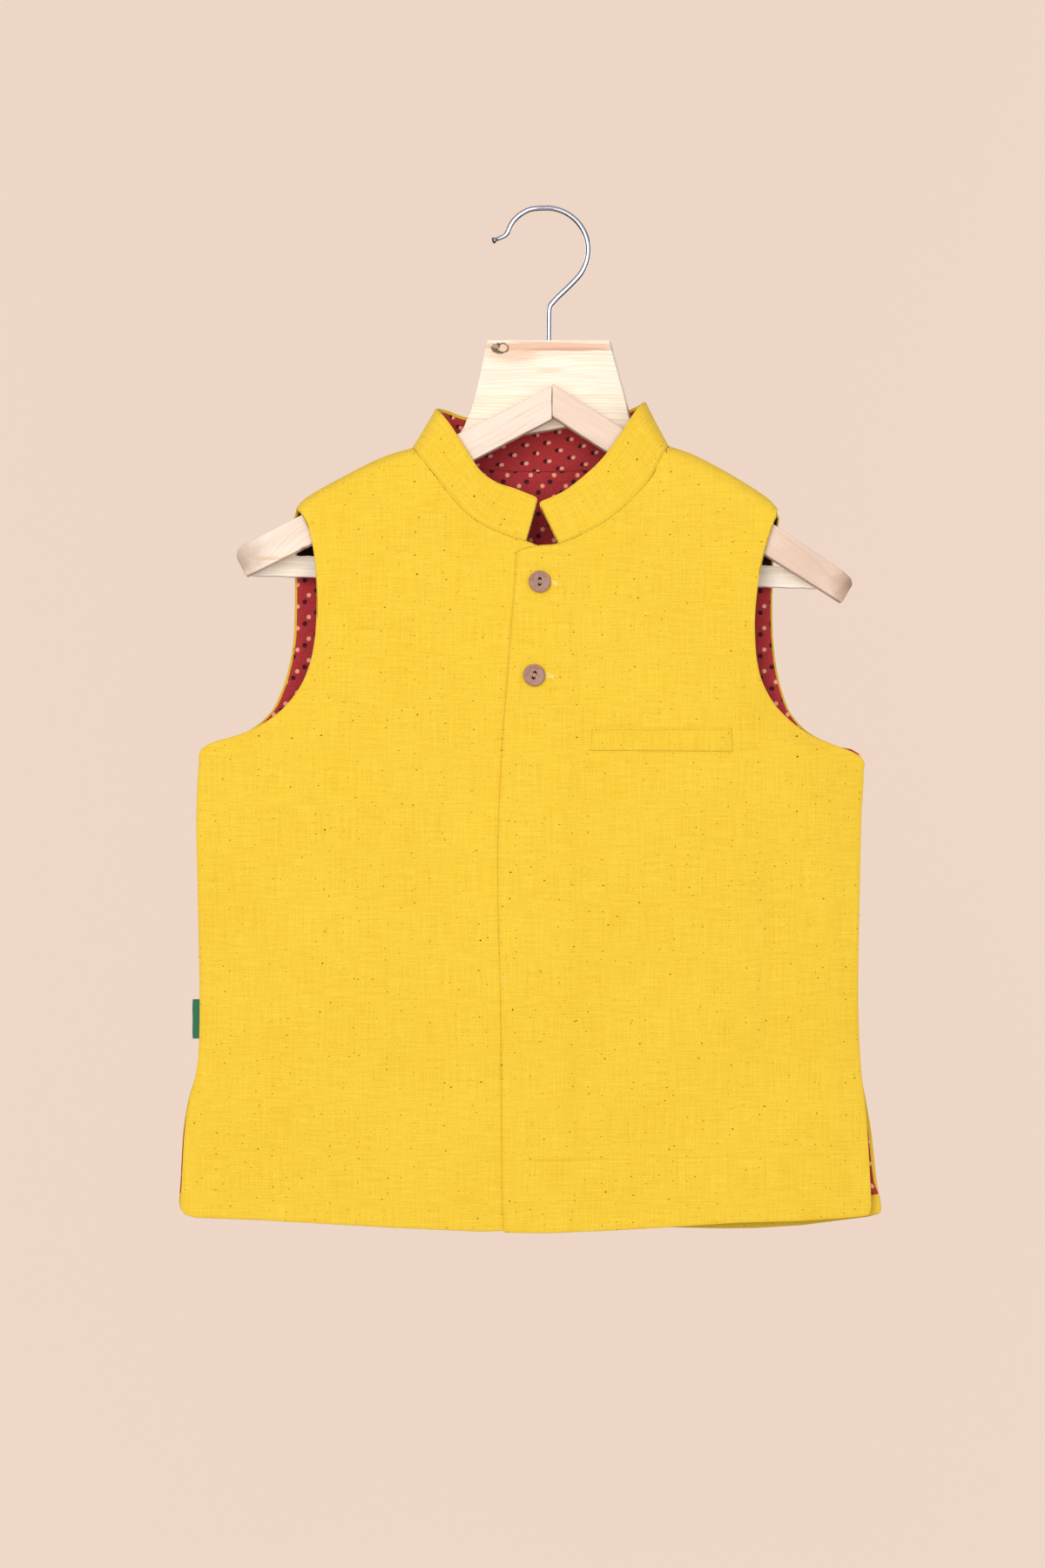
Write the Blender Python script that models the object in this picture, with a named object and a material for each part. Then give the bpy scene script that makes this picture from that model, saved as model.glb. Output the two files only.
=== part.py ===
"""Sleeveless band-collar jacket hanging on a wooden hanger.

Metres, +Z up. X is the viewer's right, the jacket's front faces -Y. The origin is the
underside of the hook's crown, where the hanger bears on its rail. Tables are in millimetres.
"""
import math

import bpy
import bmesh
from mathutils import Vector

MM = 0.001

# Cloth thicknesses and gaps
CLOTH = 1.2
LINING = 0.6
GAP = 0.3
NECK_GAP = 0.45
NECK_FALL = 5.0
LINING_GAP = 0.5
LINING_FACE = CLOTH + LINING_GAP
LINING_BACK = LINING_FACE + LINING

# Hanger: the battens lie on the front of the board, the bar behind the battens
BATTEN_FRONT = -21.8
BATTEN_BACK = -7.3
BOARD_FRONT = -7.0
BOARD_BACK = 6.6
BAR_BACK = 4.4
BOARD_BEVEL = 1.8
SHOULDER_MID = -14.8
FRONT_PLANE = -25.0
SHOULDER_BACK = -4.7
BAR_CLEAR_Z = -193.0

# Front edges: the wearer's left front laps over the right one
LAP_RISE = 2.6
LAP_FULL_X = 8.5
LAP_START_X = 22.0
UNDER_EDGE_X = 4.5

# Lining insets from the edges of the cloth
LINING_EDGE = 0.7
LINING_SIDE = 4.6
LINING_HEM = 12.0
LINING_TOP = 0.04

# Hook
WIRE_R = 1.5
HOOK_R = 24.2
HOOK_BALL_R = 1.9
WIRE_SIDES = 12

# Buttons
BUTTON_R = 6.3
BUTTON_THICK = 2.4
BUTTON_HOLE_R = 0.9
BUTTON_HOLE_STEP = 2.6

# Hanger outlines as x, z
BOARD_FOOT_Z = -125.0
BOARD = (
    (-34.1, -75.9),
    (-35.4, -80.5),
    (-37.6, -92.0),
    (-40.6, -105.4),
    (-44.0, -117.0),
    (-47.6, -125.6),
    (-50.3, -129.8),
    (-30.0, -130.2),
    (-9.7, -129.6),
    (13.0, -125.6),
    (49.3, -127.0),
    (47.8, -120.7),
    (44.6, -107.9),
    (41.3, -95.6),
    (38.6, -85.8),
    (36.1, -75.9),
)
ARM_LEFT = (
    (2.95, -103.6),
    (-175.6, -195.8),
    (-177.9, -198.4),
    (-178.2, -202.6),
    (-172.8, -213.3),
    (-134.8, -194.6),
    (2.95, -122.8),
)
ARM_RIGHT = (
    (3.25, -102.3),
    (130.6, -183.4),
    (170.8, -210.4),
    (175.0, -214.6),
    (175.8, -218.0),
    (169.6, -228.4),
    (125.9, -200.9),
    (3.25, -121.2),
)
BAR = (
    (-171.4, -212.0),
    (-133.3, -213.0),
    (122.8, -218.3),
    (156.7, -219.5),
    (153.2, -208.2),
    (124.5, -206.0),
    (-146.0, -200.5),
    (-163.0, -200.3),
)

# Pocket welt and side label
WELT_LEFT = 25.6
WELT_RIGHT = 106.6
WELT_TOP = -299.6
WELT_BOTTOM = -313.4
LABEL_TOP = -456.9
LABEL_BOTTOM = -479.7
LABEL_SEAM_X = -201.6
LABEL_END_X = -204.6
LABEL_Y = -8.9
LABEL_HALF = 0.75

# Collar stations from the wearer's right front end round the back to the left front end.
# base x, y, z and top x, y, z
COLLAR = (
    (-11.5, -25.0, -193.4, -5.7, -24.8, -168.5),
    (-28.0, -25.0, -187.9, -18.0, -24.8, -163.0),
    (-43.5, -25.0, -179.3, -29.0, -24.9, -159.2),
    (-55.5, -25.0, -167.0, -38.5, -25.1, -152.0),
    (-65.0, -25.0, -154.5, -47.0, -25.3, -139.0),
    (-73.2, -24.9, -144.6, -54.8, -25.3, -127.0),
    (-76.5, -21.2, -140.2, -60.8, -21.4, -119.4),
    (-77.4, -14.8, -139.2, -64.0, -12.5, -116.2),
    (-74.5, -5.0, -140.5, -63.0, -2.5, -114.8),
    (-66.0, 5.0, -143.5, -57.5, 7.0, -115.5),
    (-51.0, 10.8, -147.3, -46.5, 11.2, -119.0),
    (-28.0, 11.2, -149.8, -25.0, 11.2, -121.8),
    (-3.5, 11.1, -150.5, -3.7, 11.1, -122.8),
    (22.0, 11.2, -149.8, 19.0, 11.2, -121.0),
    (46.0, 11.0, -146.6, 42.0, 11.4, -116.8),
    (60.5, 5.4, -142.4, 53.0, 7.8, -113.0),
    (67.8, -5.0, -139.5, 57.0, -2.5, -111.3),
    (70.4, -14.8, -138.1, 57.0, -12.5, -112.3),
    (69.6, -21.2, -139.4, 53.6, -21.4, -115.4),
    (66.3, -24.9, -144.2, 48.6, -25.2, -121.8),
    (59.0, -25.0, -157.8, 40.5, -25.3, -134.2),
    (48.0, -25.0, -170.0, 31.0, -25.2, -146.6),
    (34.0, -25.0, -181.5, 19.0, -25.0, -157.6),
    (19.0, -25.5, -189.7, 8.2, -25.3, -165.3),
    (6.6, -27.6, -194.9, -3.2, -27.1, -171.5),
)
COLLAR_END = 24
COLLAR_CORNER = 3.4

# Crest of each shoulder from the neck point to the tip: x, z, fall of the arch
CREST_RIGHT = (
    (-77.3, -139.3, 5.5),
    (-88.0, -141.4, 8.0),
    (-104.0, -148.8, 8.5),
    (-120.0, -156.9, 8.5),
    (-134.4, -164.9, 8.0),
    (-140.5, -169.3, 6.8),
    (-144.6, -174.0, 5.0),
)
CREST_LEFT = (
    (70.3, -138.2, 7.0),
    (79.0, -140.4, 10.0),
    (94.0, -147.4, 12.0),
    (109.0, -155.9, 12.5),
    (123.2, -164.9, 11.0),
    (128.9, -169.3, 8.6),
    (133.0, -174.0, 5.0),
)

# Rows below the shoulder arch. Outer edge x, z, y, then the centre-front edge z and mid depth.
FRONT_RIGHT_ROWS = (
    (-140.0, -178.6, -24.9, -200.0, -24.9),
    (-136.2, -187.5, -24.9, -214.0, -24.9),
    (-133.6, -201.0, -24.8, -230.0, -24.9),
    (-132.3, -217.0, -24.4, -247.0, -24.9),
    (-132.2, -233.0, -23.8, -262.0, -24.9),
    (-133.4, -249.5, -22.8, -275.0, -24.9),
    (-136.6, -264.5, -21.3, -287.0, -24.9),
    (-143.0, -278.2, -19.2, -297.0, -24.9),
    (-155.0, -291.7, -16.0, -306.0, -24.8),
    (-172.5, -302.2, -12.9, -314.0, -24.7),
    (-197.8, -310.9, -10.5, -321.0, -24.6),
    (-201.2, -324.0, -10.3, -333.0, -24.5),
    (-202.4, -352.7, -10.3, -362.0, -24.1),
    (-201.6, -400.0, -10.3, -408.0, -23.4),
    (-200.6, -450.0, -10.3, -456.0, -22.6),
    (-201.0, -485.0, -10.3, -490.0, -22.0),
    (-202.8, -500.5, -10.4, -505.0, -21.8),
    (-206.6, -516.0, -10.8, -520.0, -21.6),
    (-209.2, -534.0, -11.3, -538.0, -21.3),
    (-210.7, -562.0, -12.0, -566.0, -20.9),
    (-211.5, -576.0, -12.2, -582.0, -20.6),
    (-208.8, -581.0, -12.4, -588.5, -20.5),
)
FRONT_LEFT_ROWS = (
    (132.0, -178.6, -24.9, -203.8, -24.9),
    (129.2, -185.5, -24.9, -212.0, -24.9),
    (125.5, -198.0, -24.8, -226.0, -24.9),
    (122.3, -212.5, -24.4, -241.0, -24.9),
    (120.3, -228.0, -23.8, -256.0, -24.9),
    (119.7, -243.5, -22.8, -269.0, -24.9),
    (121.1, -262.0, -21.3, -282.0, -24.9),
    (125.6, -277.0, -19.2, -293.0, -24.9),
    (135.5, -291.3, -16.0, -303.0, -24.8),
    (153.0, -304.6, -12.9, -312.0, -24.7),
    (180.8, -316.2, -10.5, -321.0, -24.6),
    (183.2, -328.0, -10.3, -333.0, -24.5),
    (181.9, -354.0, -10.3, -362.0, -24.1),
    (180.9, -400.0, -10.3, -408.0, -23.4),
    (180.1, -450.0, -10.3, -456.0, -22.6),
    (180.8, -480.0, -10.3, -490.0, -22.0),
    (182.2, -502.0, -10.4, -505.0, -21.8),
    (184.2, -517.5, -10.8, -520.0, -21.6),
    (185.5, -535.0, -11.3, -538.0, -21.3),
    (187.0, -562.0, -12.0, -566.0, -20.9),
    (187.5, -576.0, -12.2, -582.0, -20.6),
    (186.2, -581.6, -12.4, -590.4, -20.5),
)
# Back rows: viewer's left edge x, z, viewer's right edge x, z, edge y, mid y
BACK_ROWS = (
    (-146.6, -180.5, 134.8, -180.5, -4.7, 10.0),
    (-146.5, -189.0, 133.6, -189.0, 4.6, 9.4),
    (-146.4, -199.5, 132.4, -199.5, 8.1, 9.2),
    (-146.4, -218.0, 131.8, -218.0, 8.1, 9.0),
    (-146.5, -233.0, 131.5, -233.0, 6.9, 8.6),
    (-147.1, -249.5, 132.0, -249.5, 5.6, 8.5),
    (-149.6, -264.5, 133.6, -264.5, 3.6, 8.4),
    (-153.6, -278.2, 136.6, -278.2, 1.0, 8.3),
    (-160.5, -291.7, 142.2, -292.4, -2.0, 8.2),
    (-174.5, -302.8, 155.0, -304.8, -5.0, 8.1),
    (-197.8, -310.9, 180.8, -316.2, -7.3, 8.0),
    (-201.2, -324.0, 183.2, -328.0, -7.5, 7.9),
    (-202.4, -352.7, 181.9, -354.0, -7.5, 7.6),
    (-201.6, -400.0, 180.9, -400.0, -7.5, 7.1),
    (-200.6, -450.0, 180.1, -450.0, -7.5, 6.5),
    (-201.0, -485.0, 180.8, -480.0, -7.5, 6.1),
    (-203.0, -500.5, 182.4, -502.0, -7.3, 5.9),
    (-207.4, -516.0, 185.2, -517.5, -6.6, 5.7),
    (-210.3, -534.0, 188.2, -535.0, -5.7, 5.5),
    (-212.0, -562.0, 191.2, -562.0, -4.6, 5.0),
    (-212.7, -576.0, 193.9, -577.0, -4.2, 4.8),
    (-210.0, -581.2, 192.8, -581.4, -4.1, 4.7),
)
CAD_ROWS = (0, 1, 2, 3, 4, 5, 6, 7, 8, 9, 10, 11, 12.5, 14.5, 16, 17, 18.3, 20, 21)
HEM_FADE_ROW = 14

# Button stand edge from its rounded top corner to the hem: z, x
LAP_EDGE = (
    (-199.2, -17.3),
    (-203.8, -19.4),
    (-212.0, -20.1),
    (-222.7, -20.6),
    (-242.7, -21.9),
    (-272.7, -23.4),
    (-307.6, -25.4),
    (-347.6, -27.4),
    (-372.6, -28.1),
    (-402.5, -27.9),
    (-432.5, -27.0),
    (-472.4, -26.1),
    (-512.4, -25.9),
    (-552.4, -25.6),
    (-577.3, -25.3),
    (-590.4, -24.6),
)

# Hem lines: x, z
HEM_RIGHT = (
    (-208.8, -581.0),
    (-202.7, -582.8),
    (-163.7, -583.8),
    (-124.6, -585.8),
    (-92.0, -587.6),
    (-54.0, -589.3),
    (-37.9, -590.0),
    (4.5, -588.5),
)
HEM_LEFT = (
    (-24.6, -590.4),
    (-1.4, -590.8),
    (33.6, -589.6),
    (74.7, -587.3),
    (109.7, -585.1),
    (146.2, -584.3),
    (166.3, -583.3),
    (180.0, -582.3),
    (186.2, -581.6),
)
HEM_BACK = (
    (-210.0, -581.2),
    (-203.0, -583.4),
    (-160.0, -585.2),
    (-100.0, -587.2),
    (0.0, -588.8),
    (102.5, -590.8),
    (122.3, -590.5),
    (148.1, -588.7),
    (186.0, -583.4),
    (192.8, -581.4),
)

# Collar stations that the solids sample, shared by collar and panels
FRONT_STATIONS = (0, 1, 2, 3, 4, 4.5, 5, 5.5, 6, 6.5, 7)
BACK_STATIONS = (7, 7.5, 8, 8.5, 9, 9.5, 10, 11, 12, 13, 14, 14.5, 15, 15.5, 16, 16.5, 17)
SHOULDER_STEPS = 4
ARCH_STEPS = 4

# Colours
YELLOW = (0.93, 0.56, 0.035)
RED = (0.30, 0.018, 0.022)
PINE = (0.86, 0.68, 0.46)
PINE_PINK = (0.80, 0.60, 0.42)
STEEL = (0.55, 0.55, 0.56)
SHELL = (0.30, 0.19, 0.13)
GREEN = (0.022, 0.16, 0.09)


def lerp(a, b, t):
    return a + (b - a) * t


def smooth(t):
    t = min(max(t, 0.0), 1.0)
    return t * t * (3.0 - 2.0 * t)


def spline(table, index):
    """Catmull-Rom value of a table of equal rows at a fractional row number."""
    last = len(table) - 1
    index = min(max(index, 0.0), float(last))
    i = min(int(index), last - 1)
    t = index - i
    p0 = table[max(i - 1, 0)]
    p1 = table[i]
    p2 = table[i + 1]
    p3 = table[min(i + 2, last)]
    out = []
    for a, b, c, d in zip(p0, p1, p2, p3):
        slope_in = 0.5 * (c - a)
        slope_out = 0.5 * (d - b)
        h = t * t * (3.0 - 2.0 * t)
        out.append(b + (c - b) * h + slope_in * t * (1 - t) ** 2 - slope_out * t * t * (1 - t))
    return out


def at_key(table, key):
    """Value of a two-column table at a key, the keys rising or falling."""
    rising = table[-1][0] > table[0][0]
    for (k0, v0), (k1, v1) in zip(table, table[1:]):
        if (key <= k1) if rising else (key >= k1):
            return lerp(v0, v1, min(max((key - k0) / (k1 - k0), 0.0), 1.0))
    return table[-1][1]


def collar_base(w):
    return Vector(spline(COLLAR, w)[:3])


def collar_top(w):
    return Vector(spline(COLLAR, w)[3:])


def collar_point(w, h):
    return collar_base(w).lerp(collar_top(w), h)


def neck_edge(w):
    """Top edge of a panel under the collar, one gap below the collar's base."""
    base = collar_base(w)
    return base + (base - collar_top(w)).normalized() * NECK_GAP


class Panel:
    """A body panel: columns run from the top edge to the hem, rows from edge to edge.

    tops: per column top x, y, z, fall of the arch, depth below the arch, share of the row
    """

    def __init__(self, tops, rows, hem, side):
        self.tops = tops
        self.rows = rows
        self.hem = hem
        self.side = side

    def edges(self, r):
        """Left and right end of a row as x, z, with the edge depth and the mid depth."""
        if self.side == "back":
            xl, zl, xr, zr, edge, mid = spline(self.rows, r)
            return xl, zl, xr, zr, edge, mid
        x, z, edge, z_front, mid = spline(self.rows, r)
        if self.side == "right":
            return x, z, UNDER_EDGE_X, z_front, edge, mid
        return at_key(LAP_EDGE, z_front), z_front, x, z, edge, mid

    def belly(self, s, edge, mid):
        if self.side == "back":
            t = abs(2.0 * s - 1.0)
        elif self.side == "right":
            t = 1.0 - s
        else:
            t = s
        return edge + (mid - edge) * (1.0 - t ** 4)

    def lap(self, x):
        if self.side != "left":
            return 0.0
        return -LAP_RISE * smooth((LAP_START_X - x) / (LAP_START_X - LAP_FULL_X))

    def below(self, u, r):
        """Point at column u and row r, counted from the foot of the shoulder arch."""
        top = spline(self.tops, u)
        s = top[5]
        xl, zl, xr, zr, edge, mid = self.edges(r)
        x = lerp(xl, xr, s)
        z = lerp(zl, zr, s)
        first = self.edges(0)
        last_row = len(self.rows) - 1
        rest = 1.0 - smooth(r / 9.0)
        foot_x = top[0] + self.foot_shift(u)
        foot_z = top[2] - top[3]
        x += (foot_x - lerp(first[0], first[2], s)) * rest
        z += (foot_z - lerp(first[1], first[3], s)) * rest
        drop = max(r - HEM_FADE_ROW, 0.0) / (last_row - HEM_FADE_ROW)
        end = self.edges(last_row)
        x_end = lerp(end[0], end[2], s)
        z += (at_key(self.hem, x_end) - lerp(end[1], end[3], s)) * drop * drop
        y = self.belly(s, edge, mid)
        if self.side == "back":
            reach = smooth((foot_z - z) / max(foot_z - BAR_CLEAR_Z, 1.0))
            y = lerp(top[4], y, reach)
        return Vector((x, y + self.lap(x), z))

    def foot_shift(self, u):
        """Sideways step from the crest to the foot of the arch at the shoulder tip."""
        tip = self.tops[0][0] if self.side != "left" else self.tops[-1][0]
        first = self.edges(0)
        last = len(self.tops) - 1
        if self.side == "right":
            return (first[0] - tip) * max(1.0 - u / 1.5, 0.0)
        if self.side == "left":
            return (first[2] - tip) * max(1.0 - (last - u) / 1.5, 0.0)
        left = (first[0] - self.tops[0][0]) * max(1.0 - u / 1.5, 0.0)
        right = (first[2] - self.tops[-1][0]) * max(1.0 - (last - u) / 1.5, 0.0)
        return left + right

    def point(self, u, r):
        """Outer face. r from -1 to 0 runs round the arch, then down the rows."""
        if r >= 0.0:
            return self.below(u, r)
        top = spline(self.tops, u)
        foot = self.below(u, 0.0)
        crest = Vector(top[:3])
        start = (crest.y - SHOULDER_MID) / (foot.y - SHOULDER_MID)
        start = min(max(start, 0.0), 0.95)
        first_turn = math.asin(start)
        turn = lerp(first_turn, math.pi / 2, r + 1.0)
        fall = 1.0 - math.cos(turn) / math.cos(first_turn)
        out = (math.sin(turn) - start) / (1.0 - start)
        return Vector((
            lerp(crest.x, foot.x, fall),
            lerp(crest.y, foot.y, out),
            lerp(crest.z, foot.z, fall),
        ))

    def normal(self, u, r):
        step = 0.02
        last_u = len(self.tops) - 1
        last_r = len(self.rows) - 1
        u0, u1 = max(u - step, 0.0), min(u + step, last_u)
        r0, r1 = max(r - step, -1.0), min(r + step, last_r)
        if r < 0.0 < r1:
            r1 = 0.0
        if r >= 0.0 > r0:
            r0 = r
        across = self.point(u1, r) - self.point(u0, r)
        down = self.point(u, r1) - self.point(u, r0)
        n = across.cross(down).normalized()
        if self.side == "back":
            return n
        return -n

    def inner(self, u, r, depth):
        return self.point(u, r) - self.normal(u, r) * depth


def crest_columns(table, seam_y, foot_y):
    """Columns along a shoulder crest, from the neck point outward."""
    columns = []
    for k in range(1, SHOULDER_STEPS + 1):
        x, z, fall = spline(table, k * (len(table) - 1) / SHOULDER_STEPS)
        columns.append((x, seam_y, z, fall, foot_y))
    return columns


def neck_columns(stations):
    """Columns along the neck seam; below it the cloth keeps behind the batten's back."""
    columns = []
    for w in stations:
        p = neck_edge(w)
        columns.append((p.x, p.y, p.z, NECK_FALL, max(p.y, SHOULDER_BACK)))
    return columns


def shares(columns, marks):
    """Add each column's share of the row, from marks at chosen columns."""
    return [col + (at_key(marks, i),) for i, col in enumerate(columns)]


def seam_column(neck_column, seam_y, fall, foot_y):
    """Column at the neck end of a shoulder seam."""
    return (neck_column[0], seam_y, neck_column[2], fall, foot_y)


def front_right_panel():
    seam_y = SHOULDER_MID - GAP / 2
    crest = crest_columns(CREST_RIGHT, seam_y, FRONT_PLANE)
    neck = neck_columns(tuple(reversed(FRONT_STATIONS)))
    seam = seam_column(neck[0], seam_y, CREST_RIGHT[0][2], FRONT_PLANE)
    columns = list(reversed(crest)) + [seam] + neck[1:]
    columns.append((-4.0, FRONT_PLANE, -195.9, NECK_FALL, FRONT_PLANE))
    columns.append((UNDER_EDGE_X, FRONT_PLANE, -196.3, 3.7, FRONT_PLANE))
    last = len(columns) - 1
    marks = ((0, 0.0), (SHOULDER_STEPS, 0.46), (last - 2, 0.9), (last - 1, 0.94), (last, 1.0))
    return Panel(shares(columns, marks), FRONT_RIGHT_ROWS, HEM_RIGHT, "right")


def front_left_panel():
    seam_y = SHOULDER_MID - GAP / 2
    lap_y = FRONT_PLANE - LAP_RISE
    crest = crest_columns(CREST_LEFT, seam_y, FRONT_PLANE)
    neck = neck_columns(tuple(COLLAR_END - w for w in FRONT_STATIONS))
    seam = seam_column(neck[-1], seam_y, CREST_LEFT[0][2], FRONT_PLANE)
    columns = [
        (-17.3, lap_y, -199.2, 4.6, lap_y),
        (-11.0, lap_y, -196.8, 5.0, lap_y),
        (-3.3, lap_y, -195.5, 5.0, lap_y),
    ]
    columns += neck[:-1] + [seam] + crest
    last = len(columns) - 1
    marks = ((0, 0.0), (1, 0.045), (2, 0.09), (3, 0.15), (last - SHOULDER_STEPS, 0.6), (last, 1.0))
    return Panel(shares(columns, marks), FRONT_LEFT_ROWS, HEM_LEFT, "left")


def back_panel():
    seam_y = SHOULDER_MID + GAP / 2
    right = crest_columns(CREST_RIGHT, seam_y, SHOULDER_BACK)
    left = crest_columns(CREST_LEFT, seam_y, SHOULDER_BACK)
    neck = neck_columns(BACK_STATIONS)
    seam_right = seam_column(neck[0], seam_y, CREST_RIGHT[0][2], SHOULDER_BACK)
    seam_left = seam_column(neck[-1], seam_y, CREST_LEFT[0][2], SHOULDER_BACK)
    columns = list(reversed(right)) + [seam_right] + neck[1:-1] + [seam_left] + left
    last = len(columns) - 1
    marks = ((0, 0.0), (SHOULDER_STEPS, 0.26), (last - SHOULDER_STEPS, 0.74), (last, 1.0))
    return Panel(shares(columns, marks), BACK_ROWS, HEM_BACK, "back")


def material(name, rgb, roughness, metallic=0.0, sheen=0.0):
    mat = bpy.data.materials.new(name)
    mat.use_nodes = True
    shader = mat.node_tree.nodes["Principled BSDF"]
    shader.inputs["Base Color"].default_value = (*rgb, 1.0)
    shader.inputs["Roughness"].default_value = roughness
    shader.inputs["Metallic"].default_value = metallic
    shader.inputs["Sheen Weight"].default_value = sheen
    mat.diffuse_color = (*rgb, 1.0)
    return mat


def make_object(name, verts, faces, mat, shade_smooth=True):
    mesh = bpy.data.meshes.new(name)
    mesh.from_pydata([tuple(Vector(v) * MM) for v in verts], [], faces)
    bm = bmesh.new()
    bm.from_mesh(mesh)
    bmesh.ops.recalc_face_normals(bm, faces=bm.faces)
    if bm.calc_volume(signed=True) < 0.0:
        bmesh.ops.reverse_faces(bm, faces=bm.faces)
    for face in bm.faces:
        face.smooth = shade_smooth
    bm.to_mesh(mesh)
    bm.free()
    mesh.materials.append(mat)
    obj = bpy.data.objects.new(name, mesh)
    bpy.context.scene.collection.objects.link(obj)
    return obj


def slab(name, outer, inner, mat):
    """Closed solid between two equal grids of points."""
    rows = len(outer)
    cols = len(outer[0])
    verts = [p for row in outer for p in row] + [p for row in inner for p in row]
    base = rows * cols
    faces = []
    for i in range(rows - 1):
        for j in range(cols - 1):
            a = i * cols + j
            b, c, d = a + 1, a + cols + 1, a + cols
            for p, q, r in ((a, b, c), (a, c, d)):
                faces.append((p, q, r))
                faces.append((base + r, base + q, base + p))
    rim = list(range(cols))
    rim += [i * cols + cols - 1 for i in range(1, rows)]
    rim += [(rows - 1) * cols + j for j in range(cols - 2, -1, -1)]
    rim += [i * cols for i in range(rows - 2, 0, -1)]
    for a, b in zip(rim, rim[1:] + rim[:1]):
        faces.append((b, a, base + a, base + b))
    return make_object(name, verts, faces, mat)


def panel_rows():
    arch = [-1.0 + k / ARCH_STEPS for k in range(ARCH_STEPS)]
    return arch + [float(r) for r in CAD_ROWS]


def build_panel(name, panel, mat):
    outer = []
    inner = []
    for r in panel_rows():
        outer.append([panel.point(u, r) for u in range(len(panel.tops))])
        inner.append([panel.inner(u, r, CLOTH) for u in range(len(panel.tops))])
    return slab(name, outer, inner, mat)


def lining_span(panel, r):
    """First and last column of the lining in a row."""
    last = len(panel.tops) - 1
    inset = lerp(LINING_EDGE, LINING_SIDE, smooth((r - 8.0) / 1.5))
    if r > 16.0:
        inset = lerp(LINING_SIDE, 1.6, smooth((r - 16.0) / 2.0))

    def step_in(start, sign):
        edge = panel.point(start, r)
        u = start
        while (panel.point(u, r) - edge).length < inset:
            u += 0.004 * sign
        return u

    return step_in(0.0, 1), step_in(float(last), -1)


def lining_rows(panel):
    last = len(panel.rows) - 1
    rows = [r for r in panel_rows() if r < last - 1]
    rows[0] += LINING_TOP
    return rows


def lining_hem_row(panel, u):
    """Row at which the lining ends above the hem in a column."""
    r = float(len(panel.rows) - 1)
    hem = panel.point(u, r)
    while (panel.point(u, r) - hem).length < LINING_HEM:
        r -= 0.02
    return r


def build_lining(name, panel, mat):
    last = len(panel.tops) - 1
    grid = []
    for r in lining_rows(panel):
        lo, hi = lining_span(panel, r)
        grid.append([(lerp(lo, hi, k / last), r) for k in range(last + 1)])
    grid.append([(u, lining_hem_row(panel, u)) for u, _ in grid[-1]])
    outer = [[panel.inner(u, r, LINING_FACE) for u, r in row] for row in grid]
    inner = [[panel.inner(u, r, LINING_BACK) for u, r in row] for row in grid]
    return slab(name, outer, inner, mat)


def collar_normal(w, h):
    step = 0.02
    w0, w1 = max(w - step, 0.0), min(w + step, float(COLLAR_END))
    along = collar_point(w1, h) - collar_point(w0, h)
    up = collar_top(w) - collar_base(w)
    return up.cross(along).normalized()


def collar_corner(end_distance):
    """How far the rounded front corner falls below the top edge near an end."""
    if end_distance >= COLLAR_CORNER:
        return 0.0
    return COLLAR_CORNER - math.sqrt(COLLAR_CORNER ** 2 - (COLLAR_CORNER - end_distance) ** 2)


def build_collar(name, lo, hi, ends, depths, mat):
    """Collar band between two depths below its outer face.

    lo and hi are shares of the band's height, ends is the inset of its ends in stations.
    """
    middle = list(FRONT_STATIONS) + list(BACK_STATIONS[1:])
    middle += [COLLAR_END - w for w in reversed(FRONT_STATIONS[:-1])]
    span = (collar_top(1) - collar_top(0)).length
    rounding = [COLLAR_CORNER * k / span for k in (0.12, 0.4, 1.0)]
    stations = [ends] + [w for w in rounding if w > ends]
    stations += [w for w in middle if 0.5 < w < COLLAR_END - 0.5]
    stations += [COLLAR_END - w for w in reversed(stations) if w < 0.5]
    sheets = []
    for depth in depths:
        grid = []
        for row in (0.0, 0.5, 1.0):
            line = []
            for w in stations:
                end = min(w, COLLAR_END - w) * span
                fall = collar_corner(end) / (collar_top(w) - collar_base(w)).length
                h = lerp(lo, hi - fall, row)
                line.append(collar_point(w, h) - collar_normal(w, h) * depth)
            grid.append(line)
        sheets.append(grid)
    return slab(name, sheets[0], sheets[1], mat)


def prism(name, outline, y_front, y_back, mat, back_outline=None):
    """Flat piece cut to an outline of x, z points."""
    back_outline = back_outline or outline
    n = len(outline)
    verts = [(x, y_front, z) for x, z in outline] + [(x, y_back, z) for x, z in back_outline]
    faces = [tuple(range(n)), tuple(range(2 * n - 1, n - 1, -1))]
    for i in range(n):
        j = (i + 1) % n
        faces.append((j, i, n + i, n + j))
    return make_object(name, verts, faces, mat, shade_smooth=False)


def locate(panel, x, z):
    """Column and row of the panel at a place seen from the front."""
    u, r = len(panel.tops) * 0.5, 8.0
    step = 0.01
    for _ in range(30):
        p = panel.point(u, r)
        du = (panel.point(u + step, r) - p) / step
        dr = (panel.point(u, r + step) - p) / step
        det = du.x * dr.z - dr.x * du.z
        ex, ez = x - p.x, z - p.z
        u += (ex * dr.z - dr.x * ez) / det
        r += (du.x * ez - ex * du.z) / det
        u = min(max(u, 0.0), len(panel.tops) - 1.02)
        r = min(max(r, 0.0), len(panel.rows) - 1.02)
    return u, r


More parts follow.
